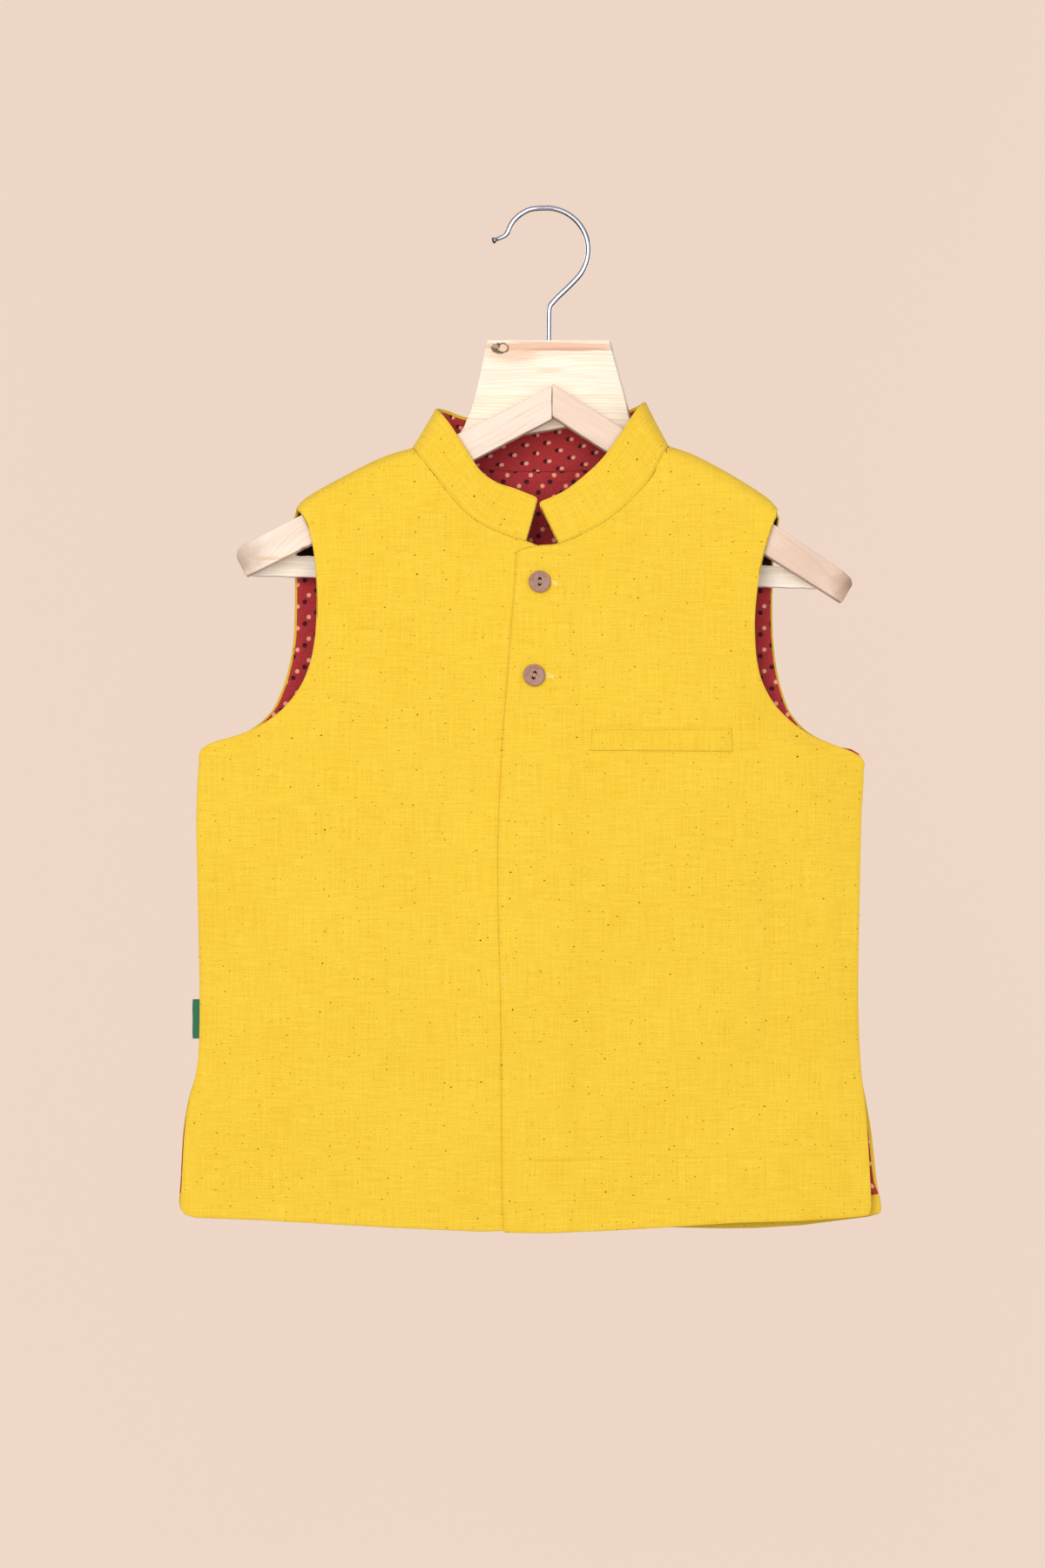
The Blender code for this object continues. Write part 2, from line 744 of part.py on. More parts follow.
def build_welt(panel, mat):
    """Pocket welt made from the points of the front it lies on, moved out."""
    cols, rows = 7, 3
    outer, inner = [], []
    for i in range(rows):
        z = lerp(WELT_BOTTOM, WELT_TOP, i / (rows - 1))
        xs = [lerp(WELT_LEFT, WELT_RIGHT, j / (cols - 1)) for j in range(cols)]
        places = [locate(panel, x, z) for x in xs]
        outer.append([panel.inner(u, r, -GAP - CLOTH) for u, r in places])
        inner.append([panel.inner(u, r, -GAP) for u, r in places])
    return slab("welt", outer, inner, mat)


def build_button(name, x, z, panel, mat):
    """Dished disc with two sewing holes."""
    u, r = locate(panel, x, z)
    back = panel.point(u, r).y - GAP
    front = back - BUTTON_THICK
    segments = 28
    bm = bmesh.new()
    profile = (
        (0.0, front + 0.5),
        (4.6, front + 0.45),
        (5.4, front),
        (6.0, front + 0.25),
        (BUTTON_R, front + 0.9),
        (6.0, back - 0.25),
        (5.0, back),
        (0.0, back),
    )
    rings = []
    for radius, y in profile:
        if radius == 0.0:
            rings.append([bm.verts.new(Vector((x, y, z)) * MM)])
            continue
        ring = []
        for k in range(segments):
            a = 2 * math.pi * k / segments
            spot = Vector((x + radius * math.cos(a), y, z + radius * math.sin(a)))
            ring.append(bm.verts.new(spot * MM))
        rings.append(ring)
    for r0, r1 in zip(rings, rings[1:]):
        for k in range(segments):
            j = (k + 1) % segments
            if len(r0) == 1:
                bm.faces.new((r0[0], r1[k], r1[j]))
            elif len(r1) == 1:
                bm.faces.new((r0[k], r1[0], r0[j]))
            else:
                bm.faces.new((r0[k], r1[k], r1[j], r0[j]))
    bmesh.ops.recalc_face_normals(bm, faces=bm.faces)
    mesh = bpy.data.meshes.new(name)
    bm.to_mesh(mesh)
    bm.free()
    obj = bpy.data.objects.new(name, mesh)
    bpy.context.scene.collection.objects.link(obj)
    for sign in (-1, 1):
        bpy.ops.mesh.primitive_cylinder_add(
            vertices=16,
            radius=BUTTON_HOLE_R * MM,
            depth=4 * BUTTON_THICK * MM,
            location=Vector((x, (front + back) / 2, z + sign * BUTTON_HOLE_STEP / 2)) * MM,
            rotation=(math.pi / 2, 0, 0),
        )
        cutter = bpy.context.object
        cut = obj.modifiers.new("hole", "BOOLEAN")
        cut.operation = "DIFFERENCE"
        cut.solver = "EXACT"
        cut.object = cutter
        bpy.context.view_layer.objects.active = obj
        bpy.ops.object.modifier_apply(modifier=cut.name)
        bpy.data.objects.remove(cutter, do_unlink=True)
    for face in obj.data.polygons:
        face.use_smooth = abs(face.normal.y) < 0.95
    obj.data.materials.clear()
    obj.data.materials.append(mat)
    return obj


def build_label(mat):
    """Folded tape loop standing out of the side seam."""
    section = [(LABEL_SEAM_X, LABEL_Y - LABEL_HALF)]
    for k in range(7):
        a = math.pi * (0.5 + k / 6)
        x = LABEL_END_X + LABEL_HALF * (1.0 + math.cos(a))
        section.append((x, LABEL_Y - LABEL_HALF * math.sin(a)))
    section.append((LABEL_SEAM_X, LABEL_Y + LABEL_HALF))
    n = len(section)
    verts = [(x, y, LABEL_TOP) for x, y in section] + [(x, y, LABEL_BOTTOM) for x, y in section]
    faces = [tuple(range(n)), tuple(range(2 * n - 1, n - 1, -1))]
    for i in range(n):
        j = (i + 1) % n
        faces.append((j, i, n + i, n + j))
    return make_object("label", verts, faces, mat)


def hook_path():
    """Centre line of the wire as x, z: shaft, crown, reversed tip."""
    path = [
        (1.4, -75.6), (1.5, -66.0), (1.6, -58.5), (2.3, -55.2), (4.6, -52.2), (8.4, -48.4),
        (12.6, -44.4),
    ]
    centre_z = WIRE_R - HOOK_R
    for k in range(19):
        a = math.radians(lerp(-46.0, 146.0, k / 18))
        path.append((HOOK_R * math.cos(a), centre_z + HOOK_R * math.sin(a)))
    path += [(-21.8, -11.6), (-23.2, -13.9), (-25.2, -15.3), (-27.6, -16.1), (-29.6, -17.2)]
    return path


def build_hook(mat):
    path = hook_path()
    verts, faces = [], []

    def ring(x, z, along, radius):
        side = Vector((-along.y, along.x))
        start = len(verts)
        for k in range(WIRE_SIDES):
            a = 2 * math.pi * k / WIRE_SIDES
            reach = side * radius * math.cos(a)
            verts.append((x + reach.x, radius * math.sin(a), z + reach.y))
        return start

    starts = []
    for i, (x, z) in enumerate(path):
        a = Vector(path[max(i - 1, 0)])
        b = Vector(path[min(i + 1, len(path) - 1)])
        starts.append(ring(x, z, (b - a).normalized(), WIRE_R))
    tip = Vector(path[-1])
    along = (tip - Vector(path[-2])).normalized()
    centre = tip + along * 1.6
    for angle in (125, 100, 70, 40, 15):
        a = math.radians(angle)
        p = centre + along * HOOK_BALL_R * math.cos(a)
        starts.append(ring(p.x, p.y, along, HOOK_BALL_R * math.sin(a)))
    for s0, s1 in zip(starts, starts[1:]):
        for k in range(WIRE_SIDES):
            j = (k + 1) % WIRE_SIDES
            faces.append((s0 + k, s0 + j, s1 + j, s1 + k))
    faces.append(tuple(range(starts[0] + WIRE_SIDES - 1, starts[0] - 1, -1)))
    faces.append(tuple(range(starts[-1], starts[-1] + WIRE_SIDES)))
    return make_object("hook", verts, faces, mat)


def build_hanger(pine, pink):
    rear = [(x + BOARD_BEVEL if x > 0 and z > BOARD_FOOT_Z else x, z) for x, z in BOARD]
    prism("hanger_board", BOARD, BOARD_FRONT, BOARD_BACK, pine, rear)
    prism("arm_left", ARM_LEFT, BATTEN_FRONT, BATTEN_BACK, pink)
    prism("arm_right", ARM_RIGHT, BATTEN_FRONT, BATTEN_BACK, pink)
    prism("hanger_bar", BAR, BOARD_FRONT, BAR_BACK, pine)


def main():
    for obj in list(bpy.data.objects):
        bpy.data.objects.remove(obj, do_unlink=True)
    yellow = material("handloom_cotton_yellow", YELLOW, 0.9, sheen=0.15)
    red = material("printed_cotton_red", RED, 0.9, sheen=0.1)
    pine = material("pine_board", PINE, 0.55)
    pink = material("pine_batten", PINE_PINK, 0.55)
    steel = material("steel_wire", STEEL, 0.28, metallic=1.0)
    shell = material("coconut_shell", SHELL, 0.5)
    green = material("woven_tape_green", GREEN, 0.8)

    panels = {
        "front_right": front_right_panel(),
        "front_left": front_left_panel(),
        "back": back_panel(),
    }
    for name, panel in panels.items():
        build_panel(name, panel, yellow)
        build_lining("lining_" + name, panel, red)
    build_collar("collar", 0.0, 1.0, 0.0, (0.0, CLOTH), yellow)
    build_collar("collar_lining", 0.05, 0.93, 0.12, (LINING_FACE, LINING_BACK), red)
    build_welt(panels["front_left"], yellow)
    build_button("button_1", -4.0, -216.6, panels["front_left"], shell)
    build_button("button_2", -7.2, -270.2, panels["front_left"], shell)
    build_label(green)
    build_hanger(pine, pink)
    build_hook(steel)


main()
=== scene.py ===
"""Looks of a sleeveless band-collar jacket of handloom cotton, hung on a wooden hanger.

Sizes and tables are in millimetres in the row frame: X to the viewer's right, -Y towards the
viewer, Z up, the origin under the hook's crown. Most tables of the form repeat the part's. The
fronts' depth, the folds and the lap's height are this script's own.
"""
import math

import bmesh
import bpy
import numpy as np
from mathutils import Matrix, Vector


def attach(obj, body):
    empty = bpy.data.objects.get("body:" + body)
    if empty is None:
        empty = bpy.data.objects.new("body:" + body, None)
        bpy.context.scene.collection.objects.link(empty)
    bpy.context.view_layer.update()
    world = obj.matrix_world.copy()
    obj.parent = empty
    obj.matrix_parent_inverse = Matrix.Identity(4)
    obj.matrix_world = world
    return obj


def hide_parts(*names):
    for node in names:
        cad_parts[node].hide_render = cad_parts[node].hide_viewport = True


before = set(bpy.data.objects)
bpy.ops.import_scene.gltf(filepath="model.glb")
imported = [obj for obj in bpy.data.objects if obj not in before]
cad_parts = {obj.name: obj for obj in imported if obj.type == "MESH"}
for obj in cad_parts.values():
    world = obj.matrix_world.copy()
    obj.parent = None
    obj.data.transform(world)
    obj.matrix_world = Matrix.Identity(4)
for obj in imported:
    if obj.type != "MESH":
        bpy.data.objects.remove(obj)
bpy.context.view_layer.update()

# Hook: one length of 3 mm bright drawn steel wire, bent cold round a former, with its end
# drawn down a little and upset to a small head. Its shaft is pressed into the board's top.
MM = 0.001
BODY = "root"
WIRE_R = 1.5
WIRE_SIDES = 28
CROWN_R = 24.2
HEAD_R = 1.8
HEAD_LONG = 2.6
NECK_R = 1.2
SHAFT = (
    (1.4, -77.4), (1.45, -66.0), (1.6, -58.5), (2.3, -55.2), (4.6, -52.2), (8.4, -48.4),
    (12.6, -44.4),
)
TIP = (
    (-8.6, 0.9), (-14.2, -1.6), (-18.5, -5.2), (-20.9, -8.9), (-22.3, -12.2), (-24.1, -14.5),
    (-26.6, -15.7), (-29.9, -17.2),
)


def linear(code):
    """Linear RGBA of an sRGB hex colour."""
    parts = [int(code[i:i + 2], 16) / 255.0 for i in (1, 3, 5)]
    return (*[p / 12.92 if p <= 0.04045 else ((p + 0.055) / 1.055) ** 2.4 for p in parts], 1.0)


def add_node(tree, kind, sockets=None, **settings):
    """Adds a node. A socket takes a value, a node (its first output) or an output."""
    made = tree.nodes.new(kind)
    for name, value in settings.items():
        setattr(made, name, value)
    for key, value in (sockets or {}).items():
        if isinstance(value, bpy.types.Node):
            value = value.outputs[0]
        if isinstance(value, bpy.types.NodeSocket):
            tree.links.new(value, made.inputs[key])
        else:
            made.inputs[key].default_value = value
    return made


def calc(tree, operation, *values):
    """A Math node on its values."""
    return add_node(tree, "ShaderNodeMath", dict(enumerate(values)), operation=operation)


def vector(tree, operation, *values):
    """A Vector Math node on its values."""
    return add_node(tree, "ShaderNodeVectorMath", dict(enumerate(values)), operation=operation)


def noise(tree, place, scale, detail, roughness=0.5):
    return add_node(
        tree, "ShaderNodeTexNoise",
        {"Vector": place, "Scale": scale, "Detail": detail, "Roughness": roughness},
    )


def ramp(tree, value, start, end, low=0.0, high=1.0, smooth=False):
    """Maps a value from start and end to low and high."""
    return add_node(
        tree, "ShaderNodeMapRange",
        {"Value": value, "From Min": start, "From Max": end, "To Min": low, "To Max": high},
        interpolation_type="SMOOTHSTEP" if smooth else "LINEAR",
    )


def mix(tree, share, first, second):
    """A colour between two."""
    return add_node(
        tree, "ShaderNodeMix", {0: share, 6: first, 7: second}, data_type="RGBA"
    ).outputs[2]


def set_relief(tree, shader, height, strength, distance):
    """Fine relief in a material's normal, its distance in metres."""
    bump = add_node(
        tree, "ShaderNodeBump", {"Strength": strength, "Distance": distance, "Height": height}
    )
    tree.links.new(bump.outputs[0], shader.inputs["Normal"])


def new_material(name, **values):
    """A Principled material with constant values set on the shader's own sockets."""
    made = bpy.data.materials.new(name)
    made.use_nodes = True
    shader = made.node_tree.nodes["Principled BSDF"]
    for key, value in values.items():
        shader.inputs[key.replace("_", " ")].default_value = value
    return made, made.node_tree, shader


def unit(v):
    v = np.asarray(v, float)
    return v / np.maximum(np.linalg.norm(v, axis=-1, keepdims=True), 1e-9)


def spline(table, index):
    """Catmull-Rom value of a table of equal rows at a fractional row number."""
    last = len(table) - 1
    index = min(max(index, 0.0), float(last))
    i = min(int(index), last - 1)
    t = index - i
    rows = (table[max(i - 1, 0)], table[i], table[i + 1], table[min(i + 2, last)])
    h = t * t * (3.0 - 2.0 * t)
    leave = 0.5 * t * (1 - t) ** 2
    reach = 0.5 * t * t * (1 - t)
    return [b + (c - b) * h + (c - a) * leave - (d - b) * reach for a, b, c, d in zip(*rows)]


def new_object(name, data):
    made = bpy.data.objects.new(name, data)
    bpy.context.scene.collection.objects.link(made)
    return made


def make_piece(name, verts, faces, material, cut=None, shade=None):
    """A mesh object from points in mm, its faces turned outwards.

    cut holds each point's place on the flat cloth in mm, and shade how much painted shade darkens it:
    round a rim, and on the back's lining the painted shadow above the bar.
    """
    mesh = bpy.data.meshes.new(name)
    mesh.from_pydata((np.asarray(verts, float) * MM).tolist(), [], faces)
    bm = bmesh.new()
    bm.from_mesh(mesh)
    bmesh.ops.recalc_face_normals(bm, faces=bm.faces)
    if bm.calc_volume(signed=True) < 0.0:
        bmesh.ops.reverse_faces(bm, faces=bm.faces)
    bm.to_mesh(mesh)
    bm.free()
    mesh.polygons.foreach_set("use_smooth", [True] * len(mesh.polygons))
    if cut is not None:
        places = mesh.attributes.new("cut", "FLOAT_VECTOR", "POINT")
        places.data.foreach_set("vector", np.asarray(cut, np.float32).ravel())
    if shade is not None:
        depth = mesh.attributes.new("shade", "FLOAT", "POINT")
        depth.data.foreach_set("value", np.asarray(shade, np.float32))
    mesh.materials.append(material)
    return new_object(name, mesh)


def tube(path, radii, sides):
    """Vertices and faces of a round rod along points in mm, with a radius at each point."""
    path = np.asarray(path, float)
    along = unit(np.gradient(path, axis=0))
    side = np.cross(along[0], (0.013, 1.0, 0.021))
    turn = np.arange(sides) * 2 * math.pi / sides
    rings = []
    for spot, ahead, radius in zip(path, along, radii):
        side = unit(side - ahead * side.dot(ahead))
        up = np.cross(ahead, side)
        rings.append(spot + radius * (np.outer(np.cos(turn), side) + np.outer(np.sin(turn), up)))
    faces = []
    for i in range(len(path) - 1):
        for k in range(sides):
            j = (k + 1) % sides
            a = i * sides
            faces.append((a + k, a + j, a + sides + j, a + sides + k))
    faces.append(tuple(range(sides - 1, -1, -1)))
    faces.append(tuple(range((len(path) - 1) * sides, len(path) * sides)))
    return np.concatenate(rings), faces


def settle(piece, slot, *nodes):
    """Rides on the one body and stands for the CAD nodes. slot is not used."""
    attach(piece, BODY)
    if nodes:
        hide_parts(*nodes)


# Bright drawn steel: a mirror that fine draw lines and handling soften
steel, tree, shader = new_material(
    "bright_drawn_steel", Metallic=1.0, Base_Color=linear("#D6D6DC"), Roughness=0.16
)
place = add_node(tree, "ShaderNodeTexCoord").outputs["Object"]
smudge = noise(tree, place, 160.0, 4.0)
gloss = ramp(tree, smudge, 0.35, 0.7, 0.07, 0.14)
tree.links.new(gloss.outputs[0], shader.inputs["Roughness"])
scratch = noise(tree, place, 1400.0, 2.0)
set_relief(tree, shader, scratch, 0.05, 0.00003)

# The sheared end is dull, and its dark colour is painted shade, where the end face turns away from
# the lights
sheared_end_shade = new_material(
    "sheared_steel_end_painted_shade", Metallic=1.0, Base_Color=linear("#5E5650"), Roughness=0.5
)[0]

crown = [
    (CROWN_R * math.cos(a), WIRE_R - CROWN_R + CROWN_R * math.sin(a))
    for a in (math.radians(-46.0 + 10.5 * k) for k in range(14))
]
bends = list(SHAFT) + crown + list(TIP)
line = [spline(bends, k / 6.0) for k in range(6 * (len(bends) - 1) + 1)]
wire = [(x, -0.03 * min(x + 23.5, 0.0) ** 2, z) for x, z in line]
radii = [WIRE_R] * len(wire)
for k in range(1, 19):
    radii[-k] = WIRE_R - (WIRE_R - NECK_R) * min(1.0, (19 - k) / 8.0)
ahead = unit(np.array(wire[-1]) - np.array(wire[-3]))
head = (
    (0.4, 1.22), (0.9, 1.45), (1.3, 1.7), (1.7, HEAD_R), (2.3, HEAD_R), (2.5, 1.66),
    (HEAD_LONG, 1.3),
)
tip = np.array(wire[-1])
for along, radius in head:
    wire.append(tuple(tip + ahead * (along - 1.2)))
    radii.append(radius)
del wire[-len(head) - 3:-len(head)]
del radii[-len(head) - 3:-len(head)]
hook = make_piece("wire_hook", *tube(wire, radii, WIRE_SIDES), steel)
hook.data.set_sharp_from_angle(angle=math.radians(40))
hook.data.materials.append(sheared_end_shade)
# The end's cap faces take the painted shade
for face in hook.data.polygons:
    spot = np.array(face.center) / MM - np.array(wire[-1])
    if np.array(face.normal).dot(ahead) > 0.55 and np.linalg.norm(spot) < 2.5:
        face.material_index = 1
settle(hook, "steel_wire", "hook")

# Hanger board: a planed offcut of pine, sawn to a taper, with a knot and a resin-red band at
# its top and a foot left rough from the saw. Its right-hand edge is planed off square.
BOARD_FRONT = -7.0
BOARD_BACK = 6.6
BOARD_BEVEL = 1.8
BOARD_FOOT_Z = -125.0
BOARD = (
    (-34.1, -75.9), (-35.4, -80.5), (-37.6, -92.0), (-40.6, -105.4), (-44.0, -117.0),
    (-47.6, -125.6), (-50.3, -129.8), (-30.0, -130.2), (-9.7, -129.6), (13.0, -125.6),
    (49.3, -127.0), (47.8, -120.7), (44.6, -107.9), (41.3, -95.6), (38.6, -85.8), (36.1, -75.9),
)
KNOT = (-26.8, -80.4)
KNOT_HALF = (5.0, 3.3)
BAND_Z = -79.6


def plank(name, outline, y_front, y_back, material, soften, rough, seed, shift=None):
    """A flat piece of wood cut to an x, z outline, its edges eased and a little uneven."""
    draw = np.random.default_rng(seed)
    points = []
    for (x0, z0), (x1, z1) in zip(outline, outline[1:] + outline[:1]):
        count = max(int(math.hypot(x1 - x0, z1 - z0) / 4.0), 1)
        out = unit((z1 - z0, x0 - x1))
        for k in range(count):
            t = k / count
            off = draw.uniform(-rough, rough) if k else 0.0
            points.append((x0 + (x1 - x0) * t + out[0] * off, z0 + (z1 - z0) * t + out[1] * off))
    rear = [(x + (shift(x, z) if shift else 0.0), z) for x, z in points]
    n = len(points)
    bm = bmesh.new()
    front = [bm.verts.new((x * MM, y_front * MM, z * MM)) for x, z in points]
    back = [bm.verts.new((x * MM, y_back * MM, z * MM)) for x, z in rear]
    bm.faces.new(front)
    bm.faces.new(back[::-1])
    for i in range(n):
        j = (i + 1) % n
        bm.faces.new((front[j], front[i], back[i], back[j]))
    bmesh.ops.recalc_face_normals(bm, faces=bm.faces)
    sharp = [e for e in bm.edges if e.calc_face_angle(0.0) > math.radians(28)]
    bmesh.ops.bevel(
        bm, geom=sharp, offset=soften * MM, segments=3, profile=0.6, affect="EDGES",
        clamp_overlap=True,
    )
    bmesh.ops.recalc_face_normals(bm, faces=bm.faces)
    mesh = bpy.data.meshes.new(name)
    bm.to_mesh(mesh)
    bm.free()
    mesh.polygons.foreach_set("use_smooth", [True] * len(mesh.polygons))
    mesh.set_sharp_from_angle(angle=math.radians(24))
    mesh.materials.append(material)
    return new_object(name, mesh)


def pine(name, slope, ring, wood, late, depth, start, knot=(0.0, 900.0), bow=0.0):
    """Unvarnished pine. Rings run along the piece, sloped in degrees, ring mm apart.

    The rings bow round a knot at x, z. Returns the material and what the stains need: its
    tree, its shader, the colour so far and the fibre.
    """
    made, tree, shader = new_material(
        name, Roughness=0.62, Specular_IOR_Level=0.3, Base_Color=linear(wood)
    )
    place = add_node(tree, "ShaderNodeTexCoord").outputs["Object"]
    grain = add_node(
        tree,
        "ShaderNodeMapping",
        {
            "Vector": place,
            "Scale": (1000.0, 1000.0, 1000.0),
            "Rotation": (0.0, math.radians(slope), 0.0),
            "Location": (start, 0.0, 0.0),
        },
    )
    wander = vector(tree, "MULTIPLY", grain, (0.011, 0.03, 0.03))
    bend = noise(tree, wander, 1.0, 3.0)
    split = add_node(tree, "ShaderNodeSeparateXYZ", {0: grain})
    across = calc(tree, "MULTIPLY_ADD", bend, 14.0, split.outputs["Z"])
    off = vector(tree, "SUBTRACT", place, (knot[0] * MM, 0.0, knot[1] * MM))
    wide = vector(tree, "MULTIPLY", off, (52.0, 0.0, 90.0))
    near = vector(tree, "DOT_PRODUCT", wide, wide)
    fade = calc(tree, "ADD", near.outputs["Value"], 1.0)
    bend_round = calc(tree, "DIVIDE", bow, fade)
    bowed = calc(tree, "ADD", across, bend_round)
    deep = calc(tree, "MULTIPLY_ADD", split.outputs["Y"], 0.55, bowed)
    slow = add_node(
        tree,
        "ShaderNodeTexNoise",
        {"W": calc(tree, "MULTIPLY", deep, 0.09), "Scale": 1.0, "Detail": 1.0},
        noise_dimensions="1D",
    )
    uneven = calc(tree, "MULTIPLY_ADD", slow, 9.0, deep)
    count = calc(tree, "DIVIDE", uneven, ring)
    phase = calc(tree, "FRACT", count)
    rise = ramp(tree, phase, 0.25, 0.92, smooth=True)
    drop = ramp(tree, phase, 0.92, 1.0, 1.0, 0.0, smooth=True)
    line = calc(tree, "MULTIPLY", rise, drop)
    strength = ramp(tree, slow, 0.35, 0.65, 0.25, 1.0)
    late_share = calc(tree, "MULTIPLY", line, strength)
    weight = calc(tree, "MULTIPLY", late_share, depth)
    ringed = mix(tree, weight, linear(wood), linear(late))
    fine = vector(tree, "MULTIPLY", grain, (0.05, 1.6, 1.6))
    fibre = noise(tree, fine, 1.0, 4.0, 0.65)
    tone = ramp(tree, fibre, 0.3, 0.7, 0.9, 1.06)
    broad = vector(tree, "MULTIPLY", grain, (0.02, 0.12, 0.12))
    cloud = noise(tree, broad, 1.0, 2.0)
    patch = ramp(tree, cloud, 0.3, 0.7, 0.94, 1.05)
    shade = calc(tree, "MULTIPLY", tone, patch)
    lit = add_node(
        tree, "ShaderNodeVectorMath", {0: ringed, "Scale": shade}, operation="SCALE"
    )
    relief = calc(tree, "ADD", fibre, late_share)
    set_relief(tree, shader, relief, 0.35, 0.0002)
    tree.links.new(lit.outputs[0], shader.inputs["Base Color"])
    return made, tree, shader, lit, fibre


def stain(tree, shader, before, spot, half, colour, strength, roughen, edge=(1.25, 0.55)):
    """Tints the wood round a spot (x, z in mm), its edge broken up by the fibre."""
    place = add_node(tree, "ShaderNodeTexCoord").outputs["Object"]
    off = vector(tree, "SUBTRACT", place, (spot[0] * MM, 0.0, spot[1] * MM))
    sized = vector(tree, "MULTIPLY", off, (1.0 / (half[0] * MM), 0.0, 1.0 / (half[1] * MM)))
    reach = vector(tree, "LENGTH", sized)
    broken = calc(tree, "MULTIPLY_ADD", roughen, 0.9, reach.outputs["Value"])
    share = ramp(tree, broken, edge[0] + 0.45, edge[1] + 0.45, 0.0, strength, smooth=True)
    mixed = mix(tree, share, before, linear(colour))
    tree.links.new(mixed, shader.inputs["Base Color"])
    return mixed


def mottling(tree, scale, detail, roughness):
    """Fine spots all over a piece, to break up a stain's edge."""
    place = add_node(tree, "ShaderNodeTexCoord").outputs["Object"]
    return noise(tree, place, scale, detail, roughness)


# Planed pine: cream early wood, thin straw late-wood lines, dull where the plane left it dry
board_pine, tree, shader, tint, fibre = pine(
    "planed_pine_board", -1.5, 2.3, "#FBF0DF", "#EDD2A9", 0.75, 3.0, KNOT, 9.0
)
mottle = mottling(tree, 620.0, 5.0, 0.75)
for row in (
    ((2.0, BAND_Z), (44.0, 3.0), "#DC9F79", 0.6, fibre),
    ((12.0, BAND_Z - 1.6), (30.0, 1.0), "#C98A66", 0.5, fibre),
    ((-20.0, -84.0), (16.0, 5.0), "#E3B494", 0.55, fibre),
    ((2.0, -93.5), (9.0, 1.2), "#E4B795", 0.4, fibre),
    ((KNOT[0], KNOT[1] - 0.3), KNOT_HALF, "#54402F", 0.92, mottle, (1.15, 0.85)),
    ((KNOT[0] + 1.3, KNOT[1]), (2.9, 2.3), "#E6C6A6", 1.0, mottle, (1.1, 0.8)),
    ((KNOT[0] - 2.9, KNOT[1] + 0.9), (1.5, 1.2), "#B99880", 0.9, mottle, (1.2, 0.7)),
    ((KNOT[0] - 0.6, KNOT[1] + 1.2), (0.6, 1.6), "#5A4438", 0.9, mottle, (1.1, 0.8)),
):
    tint = stain(tree, shader, tint, *row)

board = plank(
    "hanger_board_pine", BOARD, BOARD_FRONT, BOARD_BACK, board_pine, 0.45, 0.10, 11,
    lambda x, z: BOARD_BEVEL if x > 0 and z > BOARD_FOOT_Z else 0.0,
)
settle(board, "pine_board", "hanger_board")

# Hanger battens and bar: two sawn battens, nailed to the board's face, meet in a butt joint
# under its middle. They are pinker, softer stock, sanded by hand. A thin pine bar runs behind.
BATTEN_FRONT = -21.8
BATTEN_BACK = -7.3
BAR_FRONT = -7.0
BAR_BACK = 4.4
ARM_LEFT = (
    (2.95, -103.6), (-175.6, -195.8), (-177.9, -198.4), (-178.2, -202.6), (-172.8, -213.3),
    (-134.8, -194.6), (2.95, -122.8),
)
ARM_RIGHT = (
    (3.25, -102.3), (130.6, -183.4), (170.8, -210.4), (175.0, -214.6), (175.8, -218.0),
    (169.6, -228.4), (125.9, -200.9), (3.25, -121.2),
)
BAR = (
    (-171.4, -212.0), (-133.3, -213.0), (122.8, -218.3), (156.7, -219.5), (153.2, -208.2),
    (124.5, -206.0), (-146.0, -200.5), (-163.0, -200.3),
)
WIDE_FADE = (1.3, 0.2)

# Sawn softwood, pinkish, with a faint broad figure, darker and greyer towards the ends
left_pine, tree, shader, tint, fibre = pine(
    "sawn_pine_left_batten", 27.3, 3.6, "#F3DFCF", "#E2C6B0", 0.45, 0.0, (-168.0, -199.0), 8.0
)
batten_mottle = mottling(tree, 210.0, 6.0, 0.8)
for row in (
    ((-178.0, -204.0), (17.0, 17.0), "#A8917E", 0.65, batten_mottle, WIDE_FADE),
    ((-178.0, -207.5), (6.0, 8.0), "#8F7D6C", 0.55, batten_mottle, WIDE_FADE),
    ((-139.5, -198.0), (2.6, 2.2), "#D98278", 0.75, fibre),
    ((-160.0, -203.0), (9.0, 1.2), "#CDA36F", 0.4, fibre),
):
    tint = stain(tree, shader, tint, *row)
right_pine, tree, shader, tint, fibre = pine(
    "sawn_pine_right_batten", -32.8, 4.2, "#ECD3C0", "#D8BAA3", 0.45, 20.0, (166.0, -214.0), 7.0
)
batten_mottle = mottling(tree, 210.0, 6.0, 0.8)
for row in (
    ((175.0, -222.0), (12.0, 16.0), "#9C7A64", 0.8, batten_mottle, WIDE_FADE),
    ((176.0, -217.0), (5.0, 8.0), "#7E6455", 0.75, batten_mottle, WIDE_FADE),
    ((150.0, -206.0), (40.0, 22.0), "#C39F88", 0.35, batten_mottle, WIDE_FADE),
):
    tint = stain(tree, shader, tint, *row)
bar_pine = pine("sawn_pine_bar", -0.8, 1.9, "#FBF3E6", "#EBD6B2", 0.6, 7.0)[0]

arm_left = plank("batten_left", ARM_LEFT, BATTEN_FRONT, BATTEN_BACK, left_pine, 0.9, 0.08, 21)
arm_right = plank(
    "batten_right", ARM_RIGHT, BATTEN_FRONT, BATTEN_BACK, right_pine, 0.9, 0.10, 22
)
bar = plank("hanger_bar_pine", BAR, BAR_FRONT, BAR_BACK, bar_pine, 0.35, 0.22, 23)
settle(arm_left, "pine_batten", "arm_left")
settle(arm_right, "pine_batten", "arm_right")
settle(bar, "pine_board", "hanger_bar")

